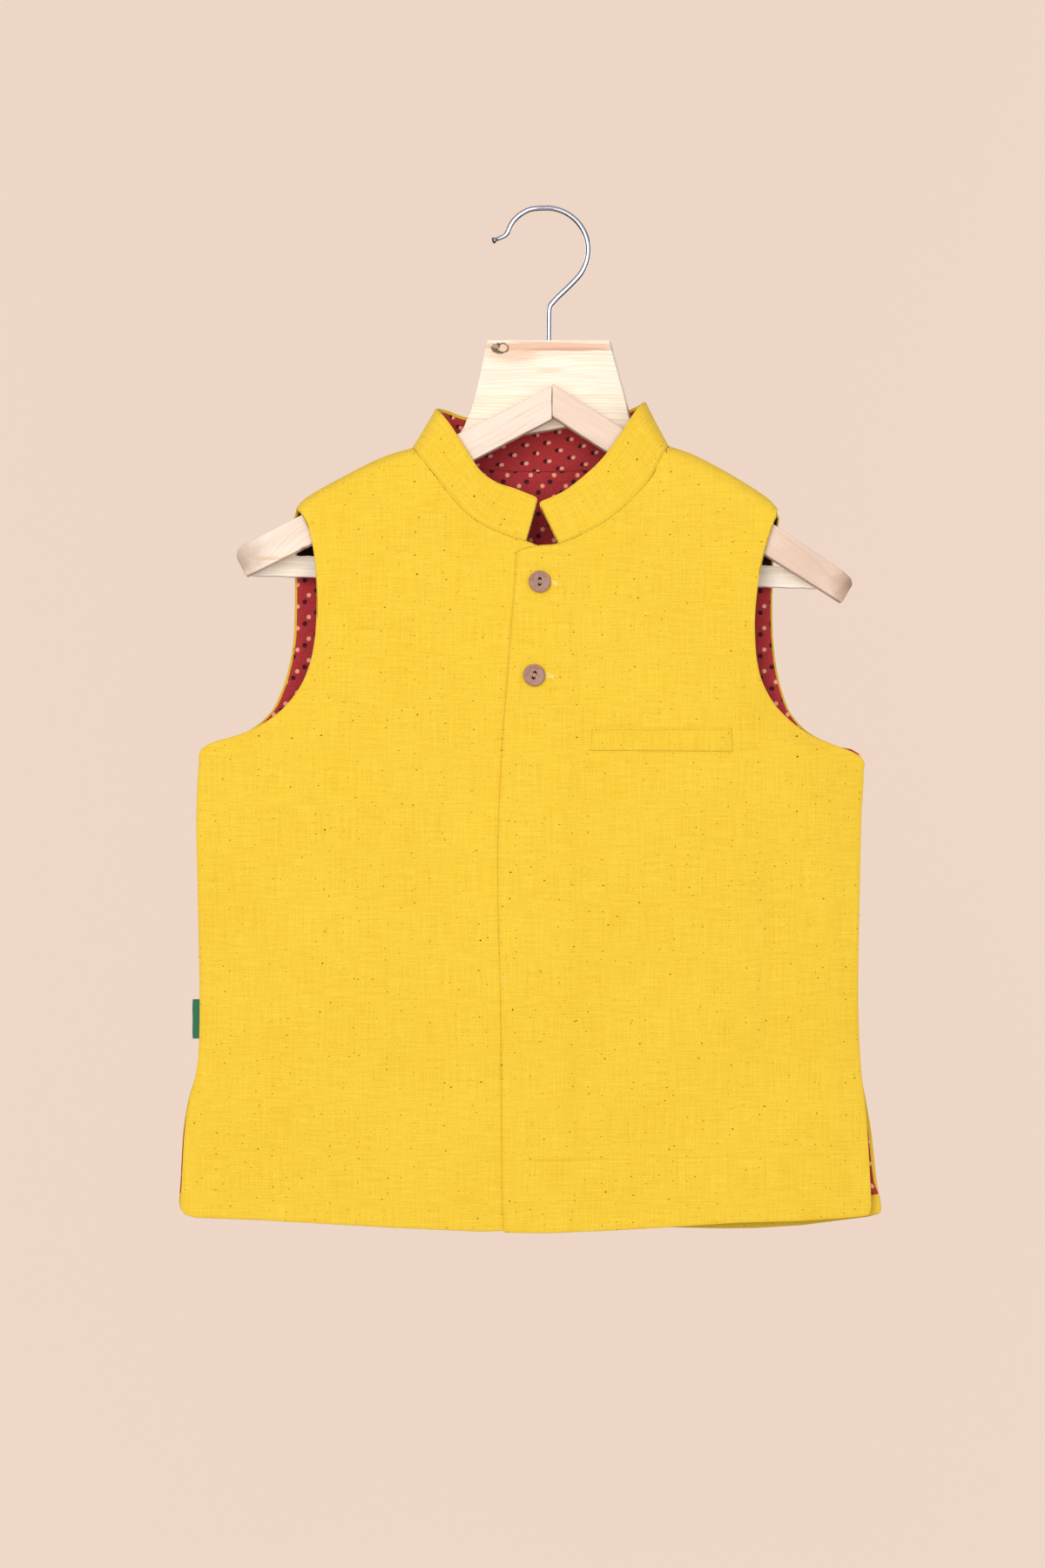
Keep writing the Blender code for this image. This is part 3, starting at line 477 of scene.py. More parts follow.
# Body panels: the fronts and back are cut from one yellow handloom cotton, a plain weave with
# seed flecks and slubs. Every edge is bagged out: seamed to the lining, turned and pressed.
CLOTH = 1.2
SEAM_GAP = 0.04
NECK_GAP = -0.3
NECK_FALL = 5.0
SHOULDER_MID = -14.8
FRONT_PLANE = -25.0
SHOULDER_BACK = -4.7
BAR_CLEAR_Z = -193.0
LAP_RISE = 1.35
LAP_FULL_X = 8.5
LAP_START_X = 22.0
UNDER_EDGE_X = 4.5
HEM_FADE_ROW = 14
SIDE_ROWS = (9.6, 16.2)
SIDE_CLOSE = 0.22
GRID_STEP = 2.1
ARCH_STEPS = 12
SHOULDER_STEPS = 4
CUT_ROW = 8.0
COLUMN_ROW = 17.0
ALLOWANCE = 8.5
ALLOWANCE_RISE = 0.22
COLLAR_END = 24
FRONT_STATIONS = (0, 1, 2, 3, 4, 4.5, 5, 5.5, 6, 6.5, 7)
BACK_STATIONS = (7, 7.5, 8, 8.5, 9, 9.5, 10, 11, 12, 13, 14, 14.5, 15, 15.5, 16, 16.5, 17)

# Collar stations from the wearer's right front end round the back to the left front end:
# base x, y, z and top x, y, z
COLLAR = (
    (-11.5, -25.0, -193.4, -4.6, -24.8, -168.3),
    (-28.0, -25.0, -187.9, -18.0, -24.8, -163.0),
    (-43.5, -25.0, -179.3, -29.0, -24.9, -159.2),
    (-55.5, -25.0, -167.0, -38.5, -25.1, -152.0),
    (-65.0, -25.0, -154.5, -47.0, -25.3, -139.0),
    (-73.2, -24.9, -144.6, -54.8, -25.3, -127.0),
    (-76.5, -21.2, -140.2, -60.8, -21.4, -119.4),
    (-77.4, -14.8, -139.2, -64.0, -12.5, -116.2),
    (-74.5, -5.0, -140.5, -63.0, -2.5, -114.8),
    (-66.0, 5.0, -143.5, -57.5, 7.0, -115.5),
    (-51.0, 10.8, -147.3, -46.5, 11.2, -119.0),
    (-28.0, 11.2, -149.8, -25.0, 11.2, -121.8),
    (-3.5, 11.1, -150.5, -3.7, 11.1, -122.8),
    (22.0, 11.2, -149.8, 19.0, 11.2, -121.0),
    (46.0, 11.0, -146.6, 42.0, 11.4, -116.8),
    (60.5, 5.4, -142.4, 53.0, 7.8, -113.0),
    (67.8, -5.0, -139.5, 57.0, -2.5, -111.3),
    (70.4, -14.8, -138.1, 57.0, -12.5, -112.3),
    (69.6, -21.2, -139.4, 53.6, -21.4, -115.4),
    (66.3, -24.9, -144.2, 48.6, -25.2, -121.8),
    (59.0, -25.0, -157.8, 40.5, -25.3, -134.2),
    (48.0, -25.0, -170.0, 31.0, -25.2, -146.6),
    (34.0, -25.0, -181.5, 19.0, -25.0, -157.6),
    (19.0, -25.3, -189.7, 8.2, -25.2, -165.3),
    (6.6, -26.75, -194.9, -5.0, -26.4, -171.0),
)
# Crest of each shoulder from the neck point to the tip: x, z, fall of the arch
CREST_RIGHT = (
    (-77.3, -139.3, 5.5), (-88.0, -141.4, 8.0), (-104.0, -148.8, 8.5), (-120.0, -156.9, 8.5),
    (-134.4, -164.9, 8.0), (-140.5, -169.3, 6.8), (-144.6, -174.0, 5.0),
)
CREST_LEFT = (
    (70.3, -138.2, 7.0), (79.0, -140.4, 10.0), (94.0, -147.4, 12.0), (109.0, -155.9, 12.5),
    (123.2, -164.9, 11.0), (128.9, -169.3, 8.6), (133.0, -174.0, 5.0),
)
# Rows of the fronts: outer edge x, z, y, then the centre-front edge z and the mid depth
FRONT_RIGHT_ROWS = (
    (-140.0, -178.6, -24.9, -200.0, -24.9), (-136.2, -187.5, -24.9, -214.0, -24.9),
    (-133.6, -201.0, -24.8, -230.0, -24.9), (-132.3, -217.0, -24.4, -247.0, -24.9),
    (-132.2, -233.0, -23.8, -262.0, -24.9), (-133.4, -249.5, -22.8, -275.0, -24.9),
    (-136.6, -264.5, -21.3, -287.0, -24.9), (-143.0, -278.2, -19.2, -297.0, -24.9),
    (-155.0, -291.7, -16.0, -306.0, -24.8), (-172.5, -302.2, -12.9, -314.0, -24.7),
    (-197.8, -310.9, -10.5, -321.0, -24.6), (-201.2, -324.0, -10.3, -333.0, -24.5),
    (-202.4, -352.7, -10.3, -362.0, -24.1), (-201.6, -400.0, -10.3, -408.0, -23.4),
    (-200.6, -450.0, -10.3, -456.0, -22.6), (-201.0, -485.0, -10.3, -490.0, -22.0),
    (-202.8, -500.5, -10.4, -505.0, -21.8), (-206.6, -516.0, -10.8, -520.0, -21.6),
    (-209.2, -534.0, -11.3, -538.0, -21.3), (-210.7, -562.0, -12.0, -566.0, -20.9),
    (-211.5, -576.0, -12.2, -582.0, -20.6), (-208.8, -581.0, -12.4, -588.5, -20.5),
)
FRONT_LEFT_ROWS = (
    (132.0, -178.6, -24.9, -203.8, -24.9), (129.2, -185.5, -24.9, -212.0, -24.9),
    (125.5, -198.0, -24.8, -226.0, -24.9), (122.3, -212.5, -24.4, -241.0, -24.9),
    (120.3, -228.0, -23.8, -256.0, -24.9), (119.7, -243.5, -22.8, -269.0, -24.9),
    (121.1, -262.0, -21.3, -282.0, -24.9), (125.6, -277.0, -19.2, -293.0, -24.9),
    (135.5, -291.3, -16.0, -303.0, -24.8), (153.0, -304.6, -12.9, -312.0, -24.7),
    (180.8, -316.2, -10.5, -321.0, -24.6), (183.2, -328.0, -10.3, -333.0, -24.5),
    (181.9, -354.0, -10.3, -362.0, -24.1), (180.9, -400.0, -10.3, -408.0, -23.4),
    (180.1, -450.0, -10.3, -456.0, -22.6), (180.8, -480.0, -10.3, -490.0, -22.0),
    (182.2, -502.0, -10.4, -505.0, -21.8), (184.2, -517.5, -10.8, -520.0, -21.6),
    (185.5, -535.0, -11.3, -538.0, -21.3), (187.0, -562.0, -12.0, -566.0, -20.9),
    (187.5, -576.0, -12.2, -582.0, -20.6), (186.2, -581.6, -12.4, -590.4, -20.5),
)
# How much deeper a front lies at its side than at its middle, row by row down to the side seam,
# and where its side seam runs. Round the armhole's foot the cloth curls in over CURL to its edge
FRONT_DEPTHS = (
    (0.0,), (0.0,), (0.4,), (2.5,), (5.5,), (9.0,), (11.6,), (13.2,), (14.0,), (14.3,), (14.3,),
    (14.2,),
)
SIDE_ROW = 11
SIDE_X = {"right": -200.8, "left": 182.2}
CURL = 14.0
# Rows of the back: viewer's left edge x, z, viewer's right edge x, z, edge y, mid y
BACK_ROWS = (
    (-146.6, -180.5, 134.8, -180.5, -4.7, 10.0), (-146.5, -189.0, 133.6, -189.0, 4.6, 9.4),
    (-146.4, -199.5, 132.4, -199.5, 8.1, 9.2), (-146.4, -218.0, 131.8, -218.0, 8.1, 9.0),
    (-146.5, -233.0, 131.5, -233.0, 6.9, 8.6), (-147.1, -249.5, 132.0, -249.5, 5.6, 8.5),
    (-149.6, -264.5, 133.6, -264.5, 3.6, 8.4), (-153.6, -278.2, 136.6, -278.2, 1.0, 8.3),
    (-160.5, -291.7, 142.2, -292.4, -2.0, 8.2), (-174.5, -302.8, 155.0, -304.8, -5.0, 8.1),
    (-197.8, -310.9, 180.8, -316.2, -7.3, 8.0), (-201.2, -324.0, 183.2, -328.0, -7.5, 7.9),
    (-202.4, -352.7, 181.9, -354.0, -7.5, 7.6), (-201.6, -400.0, 180.9, -400.0, -7.5, 7.1),
    (-200.6, -450.0, 180.1, -450.0, -7.5, 6.5), (-201.0, -485.0, 180.8, -480.0, -7.5, 6.1),
    (-203.0, -500.5, 182.4, -502.0, -7.3, 5.9), (-207.4, -516.0, 185.2, -517.5, -6.6, 5.7),
    (-210.3, -534.0, 188.2, -535.0, -5.7, 5.5), (-212.0, -562.0, 191.2, -562.0, -4.6, 5.0),
    (-212.7, -576.0, 193.9, -577.0, -4.2, 4.8), (-210.0, -581.2, 192.8, -581.4, -4.1, 4.7),
)
# Button stand edge from its rounded top corner to the hem: z, x
LAP_EDGE = (
    (-199.2, -17.3), (-203.8, -19.4), (-212.0, -20.1), (-222.7, -20.6), (-242.7, -21.9),
    (-272.7, -23.4), (-307.6, -25.4), (-347.6, -27.4), (-372.6, -28.1), (-402.5, -27.9),
    (-432.5, -27.0), (-472.4, -26.1), (-512.4, -25.9), (-552.4, -25.6), (-577.3, -25.3),
    (-590.4, -24.6),
)
# Hem lines: x, z
HEM_RIGHT = (
    (-208.8, -581.0), (-202.7, -582.8), (-163.7, -583.8), (-124.6, -585.8), (-92.0, -587.6),
    (-54.0, -589.3), (-37.9, -590.0), (4.5, -588.5),
)
HEM_LEFT = (
    (-24.6, -590.4), (-1.4, -590.8), (33.6, -589.6), (74.7, -587.3), (109.7, -585.1),
    (146.2, -584.3), (166.3, -583.3), (180.0, -582.3), (186.2, -581.6),
)
HEM_BACK = (
    (-210.0, -581.2), (-203.0, -583.4), (-160.0, -585.2), (-100.0, -587.2), (0.0, -588.8),
    (102.5, -590.8), (122.3, -590.5), (148.1, -588.7), (186.0, -583.4), (192.8, -581.4),
)
# Soft troughs (below 0) and ridges of the hanging cloth, placed one by one: x, z at both ends,
# half width, height
FOLDS_RIGHT = (
    (-113, -270, -111, -352, 5.5, -0.55), (-94, -346, -97, -414, 6.5, -0.45),
    (-95, -484, -88, -545, 7.0, -0.55), (-166, -395, -162, -540, 9.0, -0.75),
    (-148, -515, -156, -592, 8.0, -0.6), (-188, -325, -190, -500, 7.0, 0.5),
    (-60, -200, -78, -268, 9.0, -0.35), (-118, -170, -126, -232, 8.0, 0.4),
    (-128, -242.4, -22, -243.0, 1.3, 0.16), (-130, -243.8, -30, -244.6, 1.5, -0.16),
    (-62, -300, -58, -470, 14.0, -0.4), (-120, -420, -128, -580, 10.0, 0.45),
    (-50, -500, -40, -590, 10.0, 0.35), (-150, -300, -100, -330, 7.0, -0.3),
)
FOLDS_LEFT = (
    (31, -190, 28, -240, 5.0, -0.5), (128, -350, 137, -520, 9.0, -0.65),
    (110, -262, 111, -328, 1.8, 0.2), (101, -540, 102, -592, 2.0, -0.2),
    (60, -330, 54, -520, 16.0, -0.35), (160, -340, 166, -540, 9.0, 0.5),
    (10, -330, 14, -560, 11.0, 0.3), (120, -185, 104, -252, 9.0, 0.4),
    (84, -190, 92, -250, 10.0, -0.3), (150, -318, 100, -345, 6.0, -0.3),
    (90, -400, 96, -585, 12.0, 0.3),
    (-27, -550.6, 66, -548.4, 1.0, -0.28), (60, -548.5, 136, -547.7, 1.0, -0.2),
    (130, -547.7, 184, -546.6, 1.0, -0.24), (-20, -546.8, 60, -545.4, 2.2, 0.14),
)
FOLDS_BACK = (
    (-100, -190, -118, -330, 12.0, -0.7), (88, -190, 104, -330, 12.0, -0.7),
    (-60, -165, -40, -300, 14.0, 0.5), (50, -165, 34, -300, 14.0, 0.5),
    (-150, -330, -158, -560, 12.0, -0.7), (140, -330, 146, -560, 12.0, -0.7),
    (-30, -380, -34, -585, 16.0, 0.5), (60, -400, 66, -585, 14.0, -0.5),
    (-92, -420, -96, -585, 12.0, 0.5), (112, -430, 110, -585, 12.0, 0.5),
)
FOLD_DEPTH = 1.7
PRESS_LEFT = (-550.9, -550.3, -549.7, -549.1, -548.5, -547.9, -547.3, -546.7, -546.1)
PRESS_RIGHT = (-245.4, -244.6, -244.0, -243.4, -242.8, -242.2, -241.6)


def lerp(a, b, t):
    return a + (b - a) * t


def ease(t):
    t = np.clip(t, 0.0, 1.0)
    return t * t * (3.0 - 2.0 * t)


def at_key(table, key):
    """Value of a two-column table at a key, the keys rising or falling."""
    rising = table[-1][0] > table[0][0]
    for (k0, v0), (k1, v1) in zip(table, table[1:]):
        if (key <= k1) if rising else (key >= k1):
            return lerp(v0, v1, min(max((key - k0) / (k1 - k0), 0.0), 1.0))
    return table[-1][1]


def collar_base(w):
    return Vector(spline(COLLAR, w)[:3])


def collar_top(w):
    return Vector(spline(COLLAR, w)[3:])


def neck_edge(w):
    """Top edge of a panel where it meets the collar."""
    base = collar_base(w)
    return base + (base - collar_top(w)).normalized() * NECK_GAP


class Panel:
    """A body panel: columns run from its top edge to the hem, rows from edge to edge.

    tops holds for each column the top x, y, z, the fall of the shoulder arch, the depth
    below the arch and the share of the row. corners are the columns where the top edge turns.
    """

    def __init__(self, tops, rows, hem, side, corners, folds):
        self.tops = tops
        self.rows = rows
        self.hem = hem
        self.side = side
        self.corners = (0, *corners, len(tops) - 1)
        self.folds = folds
        self.last = float(len(tops) - 1)
        self.foot = float(len(rows) - 1)

    def top(self, u):
        u = min(max(u, 0.0), self.last)
        for a, b in zip(self.corners, self.corners[1:]):
            if u <= b:
                return spline(self.tops[a:b + 1], u - a)
        return self.tops[-1]

    def edges(self, r):
        """Left and right end of a row as x, z, with the edge depth and the mid depth."""
        if self.side == "back":
            return spline(self.rows, r)
        x, z, edge, z_front, mid = spline(self.rows, r)
        if self.side == "right":
            return x, z, UNDER_EDGE_X, z_front, edge, mid
        return at_key(LAP_EDGE, z_front), z_front, x, z, edge, mid

    def outer_share(self, s):
        """How near a share of the row is to the side seam, 0 to 1."""
        if self.side == "back":
            return abs(2.0 * s - 1.0)
        return 1.0 - s if self.side == "right" else s

    def foot_shift(self, u):
        """Sideways step from the crest to the foot of the arch at the shoulder tip."""
        first = self.edges(0)
        near_left = max(1.0 - u / 1.5, 0.0) if self.side != "left" else 0.0
        near_right = max(1.0 - (self.last - u) / 1.5, 0.0) if self.side != "right" else 0.0
        left = (first[0] - self.tops[0][0]) * near_left
        return left + (first[2] - self.tops[-1][0]) * near_right

    def below(self, u, r):
        """Point at a column and a row, rows counted from the foot of the arch."""
        top = self.top(u)
        s = top[5]
        xl, zl, xr, zr, edge, mid = self.edges(r)
        x = lerp(xl, xr, s)
        z = lerp(zl, zr, s)
        first = self.edges(0)
        rest = 1.0 - ease(r / 9.0)
        foot_z = top[2] - top[3]
        x += (top[0] + self.foot_shift(u) - lerp(first[0], first[2], s)) * rest
        z += (foot_z - lerp(first[1], first[3], s)) * rest
        drop = max(r - HEM_FADE_ROW, 0.0) / (self.foot - HEM_FADE_ROW)
        end = self.edges(self.foot)
        z += (at_key(self.hem, lerp(end[0], end[2], s)) - lerp(end[1], end[3], s)) * drop ** 2
        t = self.outer_share(s)
        y = edge + (mid - edge) * (1.0 - t ** 4)
        if self.side != "back" and r < SIDE_ROW:
            inner, outer = (xr, xl) if self.side == "right" else (xl, xr)
            reach = lerp(SIDE_X[self.side], outer, ease(r - SIDE_ROW + 1.0)) - inner
            deep = spline(FRONT_DEPTHS, r)[0]
            curl = edge - mid - deep * ((outer - inner) / reach) ** 4
            y = mid + deep * max((x - inner) / reach, 0.0) ** 4
            y += curl * math.exp(-((x - outer) / CURL) ** 2)
        closing = ease((r - SIDE_ROWS[0]) / 0.8) * ease((SIDE_ROWS[1] - r) / 1.2)
        seam = SIDE_CLOSE * closing * t ** 24
        if self.side == "back":
            reach = ease((foot_z - z) / max(foot_z - BAR_CLEAR_Z, 1.0))
            y = lerp(top[4], y, reach) - seam
        else:
            y += seam
        if self.side == "left":
            y -= LAP_RISE * ease((LAP_START_X - x) / (LAP_START_X - LAP_FULL_X))
        return Vector((x, y, z))

    def point(self, u, r):
        """Outer face. r from -1 to 0 runs round the shoulder arch, then down the rows."""
        if r >= 0.0:
            return self.below(u, r)
        foot = self.below(u, 0.0)
        crest = Vector(self.top(u)[:3])
        start = (crest.y - SHOULDER_MID) / (foot.y - SHOULDER_MID)
        start = min(max(start, 0.0), 0.95)
        first_turn = math.asin(start)
        turn = lerp(first_turn, math.pi / 2, r + 1.0)
        fall = 1.0 - math.cos(turn) / math.cos(first_turn)
        out = (math.sin(turn) - start) / (1.0 - start)
        return Vector((
            lerp(crest.x, foot.x, fall), lerp(crest.y, foot.y, out), lerp(crest.z, foot.z, fall)
        ))


def crest_columns(table, seam_y, foot_y):
    """Columns along a shoulder crest, from the neck point outward."""
    columns = []
    for k in range(1, SHOULDER_STEPS + 1):
        x, z, fall = spline(table, k * (len(table) - 1) / SHOULDER_STEPS)
        columns.append((x, seam_y, z, fall, foot_y))
    return columns


def neck_columns(stations):
    columns = []
    for w in stations:
        p = neck_edge(w)
        columns.append((p.x, p.y, p.z, NECK_FALL, max(p.y, SHOULDER_BACK)))
    return columns


def shares(columns, marks):
    """Add each column's share of the row, from marks at chosen columns."""
    return [col + (at_key(marks, i),) for i, col in enumerate(columns)]


def front_right_panel():
    seam_y = SHOULDER_MID - SEAM_GAP / 2
    crest = crest_columns(CREST_RIGHT, seam_y, FRONT_PLANE)
    neck = neck_columns(tuple(reversed(FRONT_STATIONS)))
    seam = (neck[0][0], seam_y, neck[0][2], CREST_RIGHT[0][2], FRONT_PLANE)
    columns = list(reversed(crest)) + [seam] + neck[1:]
    columns.append((-4.0, FRONT_PLANE, -195.9, NECK_FALL, FRONT_PLANE))
    columns.append((UNDER_EDGE_X, FRONT_PLANE, -196.3, 3.7, FRONT_PLANE))
    last = len(columns) - 1
    marks = ((0, 0.0), (SHOULDER_STEPS, 0.46), (last - 2, 0.9), (last - 1, 0.94), (last, 1.0))
    return Panel(
        shares(columns, marks), FRONT_RIGHT_ROWS, HEM_RIGHT, "right", (SHOULDER_STEPS,),
        FOLDS_RIGHT,
    )


def front_left_panel():
    seam_y = SHOULDER_MID - SEAM_GAP / 2
    lap_y = FRONT_PLANE - LAP_RISE
    crest = crest_columns(CREST_LEFT, seam_y, FRONT_PLANE)
    neck = neck_columns(tuple(COLLAR_END - w for w in FRONT_STATIONS))
    seam = (neck[-1][0], seam_y, neck[-1][2], CREST_LEFT[0][2], FRONT_PLANE)
    columns = [
        (-17.3, lap_y, -199.2, 4.6, lap_y), (-11.0, lap_y, -196.8, 5.0, lap_y),
        (-3.3, lap_y, -195.5, 5.0, lap_y),
    ]
    columns += neck[:-1] + [seam] + crest
    last = len(columns) - 1
    marks = ((0, 0.0), (1, 0.045), (2, 0.09), (3, 0.15), (last - SHOULDER_STEPS, 0.6), (last, 1.0))
    return Panel(
        shares(columns, marks), FRONT_LEFT_ROWS, HEM_LEFT, "left", (last - SHOULDER_STEPS,),
        FOLDS_LEFT,
    )


def back_panel():
    seam_y = SHOULDER_MID + SEAM_GAP / 2
    right = crest_columns(CREST_RIGHT, seam_y, SHOULDER_BACK)
    left = crest_columns(CREST_LEFT, seam_y, SHOULDER_BACK)
    neck = neck_columns(BACK_STATIONS)
    seam_right = (neck[0][0], seam_y, neck[0][2], CREST_RIGHT[0][2], SHOULDER_BACK)
    seam_left = (neck[-1][0], seam_y, neck[-1][2], CREST_LEFT[0][2], SHOULDER_BACK)
    columns = list(reversed(right)) + [seam_right] + neck[1:-1] + [seam_left] + left
    last = len(columns) - 1
    marks = ((0, 0.0), (SHOULDER_STEPS, 0.26), (last - SHOULDER_STEPS, 0.74), (last, 1.0))
    return Panel(
        shares(columns, marks), BACK_ROWS, HEM_BACK, "back",
        (SHOULDER_STEPS, last - SHOULDER_STEPS), FOLDS_BACK,
    )


def even_steps(point, start, stop, step, keep=()):
    """Values from start to stop that give steps of even length along a line of points."""
    fine = np.linspace(start, stop, 400)
    spots = np.array([point(v) for v in fine])
    length = np.concatenate([[0.0], np.cumsum(np.linalg.norm(np.diff(spots, axis=0), axis=1))])
    count = max(int(round(length[-1] / step)), 2)
    values = np.interp(np.linspace(0.0, length[-1], count + 1), length, fine)
    values = [v for v in values if all(abs(v - k) > 0.02 for k in keep)] + list(keep)
    return sorted(values)


def fold_height(x, z, folds):
    """Outward height of the listed troughs and ridges at points."""
    total = np.zeros_like(x)
    for x0, z0, x1, z1, half, height in folds:
        dx, dz = x1 - x0, z1 - z0
        length = math.hypot(dx, dz)
        along = ((x - x0) * dx + (z - z0) * dz) / length ** 2
        off = ((x - x0) * dz - (z - z0) * dx) / length
        off = off + 0.4 * half * np.sin(4.1 * along + 0.7 * x0) * min(half / 4.0, 1.0)
        uneven = 1.0 + 0.35 * np.sin(7.3 * along + 0.31 * z0)
        fade = ease(along / 0.28) * ease((1.0 - along) / 0.28)
        total += height * uneven * fade * np.exp(-(off / half) ** 2)
    return FOLD_DEPTH * total


def cloth_face(panel, columns, rows, allowance=ALLOWANCE_RISE):
    """Outer face of a panel as a grid of points, and each point's place on the flat cut."""
    face = np.array([[panel.point(u, r) for u in line] for line, r in zip(columns, rows)])
    step_x = np.linalg.norm(np.diff(face, axis=1), axis=2)
    step_z = np.linalg.norm(np.diff(face, axis=0), axis=2)
    left = np.pad(np.cumsum(step_x, axis=1), ((0, 0), (1, 0)))
    down = np.pad(np.cumsum(step_z, axis=0), ((1, 0), (0, 0)))
    fall = np.linalg.norm(np.diff(face[..., 1:], axis=0), axis=2)
    fall = np.pad(np.cumsum(fall, axis=0), ((1, 0), (0, 0)))
    level = int(np.argmin(np.abs(np.array(rows) - CUT_ROW)))
    cut = np.stack([face[..., 0], face[level, :, 2] - (fall - fall[level]), 0 * fall], axis=2)
    normal = unit(np.cross(np.gradient(face, axis=1), np.gradient(face, axis=0)))
    if panel.side != "back":
        normal = -normal
    edge = np.minimum(np.minimum(left, left[:, -1:] - left), down[-1:] - down)
    edge = np.where(np.array(rows)[:, None] > 0.0, edge, np.minimum(left, left[:, -1:] - left))
    rise = allowance * ease((ALLOWANCE - edge) / 1.8)
    rise = rise + fold_height(face[..., 0], face[..., 2], panel.folds) * ease(edge / 6.0 + 0.25)
    rise = rise * ease(np.array(rows)[:, None] + 1.0)
    return face + normal * rise[..., None], cut


def rounded_sheet(name, face, thick, cut, material, turn, rim=5):
    """Closed sheet of cloth under a grid of outer points, with rounded, turned edges."""
    rows, cols = face.shape[:2]
    normal = turn * unit(np.cross(np.gradient(face, axis=1), np.gradient(face, axis=0)))
    i = [0] * cols + list(range(1, rows)) + [rows - 1] * (cols - 1) + list(range(rows - 2, 0, -1))
    j = list(range(cols)) + [cols - 1] * (rows - 1) + list(range(cols - 2, -1, -1))
    j += [0] * (rows - 2)
    i, j = np.array(i), np.array(j)
    edge, up = face[i, j], normal[i, j]
    inner = (np.clip(i, 1, rows - 2), np.clip(j, 1, cols - 2))
    inward = face[inner] - edge
    tangent = unit(np.roll(edge, -1, axis=0) - np.roll(edge, 1, axis=0))
    inward = inward - (inward * tangent).sum(1)[:, None] * tangent
    inward = inward - (inward * up).sum(1)[:, None] * up
    out = -unit(inward)
    flat_out = -unit((cut[inner] - cut[i, j]) * (1.0, 1.0, 0.0))
    half = thick / 2.0
    outer, under = face.copy(), face - normal * thick
    outer[i, j] = edge - out * half
    under[i, j] = edge - out * half - up * thick
    centre = edge - out * half - up * half
    verts = [outer.reshape(-1, 3), under.reshape(-1, 3)]
    places = [cut.reshape(-1, 3), cut.reshape(-1, 3) + (0.0, 0.0, 1.0)]
    # shade rises round each rim: there the colour takes painted shade
    shade = [np.zeros(2 * rows * cols)]
    for k in range(1, rim):
        a = math.pi * k / rim
        verts.append(centre + half * (up * math.cos(a) + out * math.sin(a)))
        places.append(cut[i, j] + flat_out * half * a)
        shade.append(np.full(len(i), ease(2.0 * k / rim)))
    size = rows * cols
    grid = np.arange(size).reshape(rows, cols)
    quads = np.stack([grid[:-1, :-1], grid[:-1, 1:], grid[1:, 1:], grid[1:, :-1]], axis=2)
    quads = quads.reshape(-1, 4)
    faces = quads.tolist() + (quads[:, ::-1] + size).tolist()
    loops = [grid[i, j]] + [2 * size + k * len(i) + np.arange(len(i)) for k in range(rim - 1)]
    loops.append(grid[i, j] + size)
    for a, b in zip(loops, loops[1:]):
        ring = np.stack([np.roll(a, -1), a, b, np.roll(b, -1)], axis=1)
        faces += ring.tolist()
    return make_piece(
        name, np.concatenate(verts), faces, material, cut=np.concatenate(places),
        shade=np.concatenate(shade),
    )


# Handloom cotton: thick and thin yarns give streaks both ways, bits of seed coat give brown
# flecks, and a dry matt face with a little fuzz. The real yarns lie 0.55 mm apart: they are
# drawn 0.8 mm apart, so that the weave shows.
YARN = 0.8
# How far painted shade darkens the yellow cloth round its rims
RIM_SHADE_PAINT = 0.16
yellow, tree, shader = new_material(
    "handloom_cotton_yellow", Roughness=0.92, Specular_IOR_Level=0.18, Sheen_Weight=0.16,
    Sheen_Roughness=0.55, Sheen_Tint=linear("#FFE9A8"),
)
place = add_node(tree, "ShaderNodeAttribute", attribute_name="cut").outputs["Vector"]
drift = noise(tree, place, 0.035, 2.0)
wavy = vector(tree, "MULTIPLY_ADD", drift.outputs["Color"], (2.4, 2.4, 0.0), place)
yarns = vector(tree, "MULTIPLY", wavy, (math.pi / YARN, math.pi / YARN, 0.0))
waves = vector(tree, "SINE", yarns)
wave = add_node(tree, "ShaderNodeSeparateXYZ", {0: waves})
weave = calc(tree, "MULTIPLY", wave.outputs["X"], wave.outputs["Y"])
streaks = []
for stretch, detail in (
    ((0.055, 1.15, 0.0), 3.0), ((1.2, 0.035, 0.0), 3.0), ((0.11, 0.6, 0.0), 1.0)
):
    sized = vector(tree, "MULTIPLY", wavy, stretch)
    streaks.append(noise(tree, sized, 1.0, detail, 0.6))
weft, warp, slub = streaks
cloud = noise(tree, place, 0.016, 3.0)
thick_yarn = ramp(tree, slub, 0.62, 0.74, smooth=True)
tone = 0.5
for source, weight, middle in (
    (weft, 1.2, 0.5), (warp, 0.9, 0.5), (cloud, 0.32, 0.5), (weave, 0.2, 0.0),
    (thick_yarn, 0.16, 0.0),
):
    centred = calc(tree, "SUBTRACT", source, middle)
    tone = calc(tree, "MULTIPLY_ADD", centred, weight, tone)
colour = mix(tree, tone, linear("#ECB927"), linear("#FBDB49"))
ragged = noise(tree, place, 1.6, 2.0)
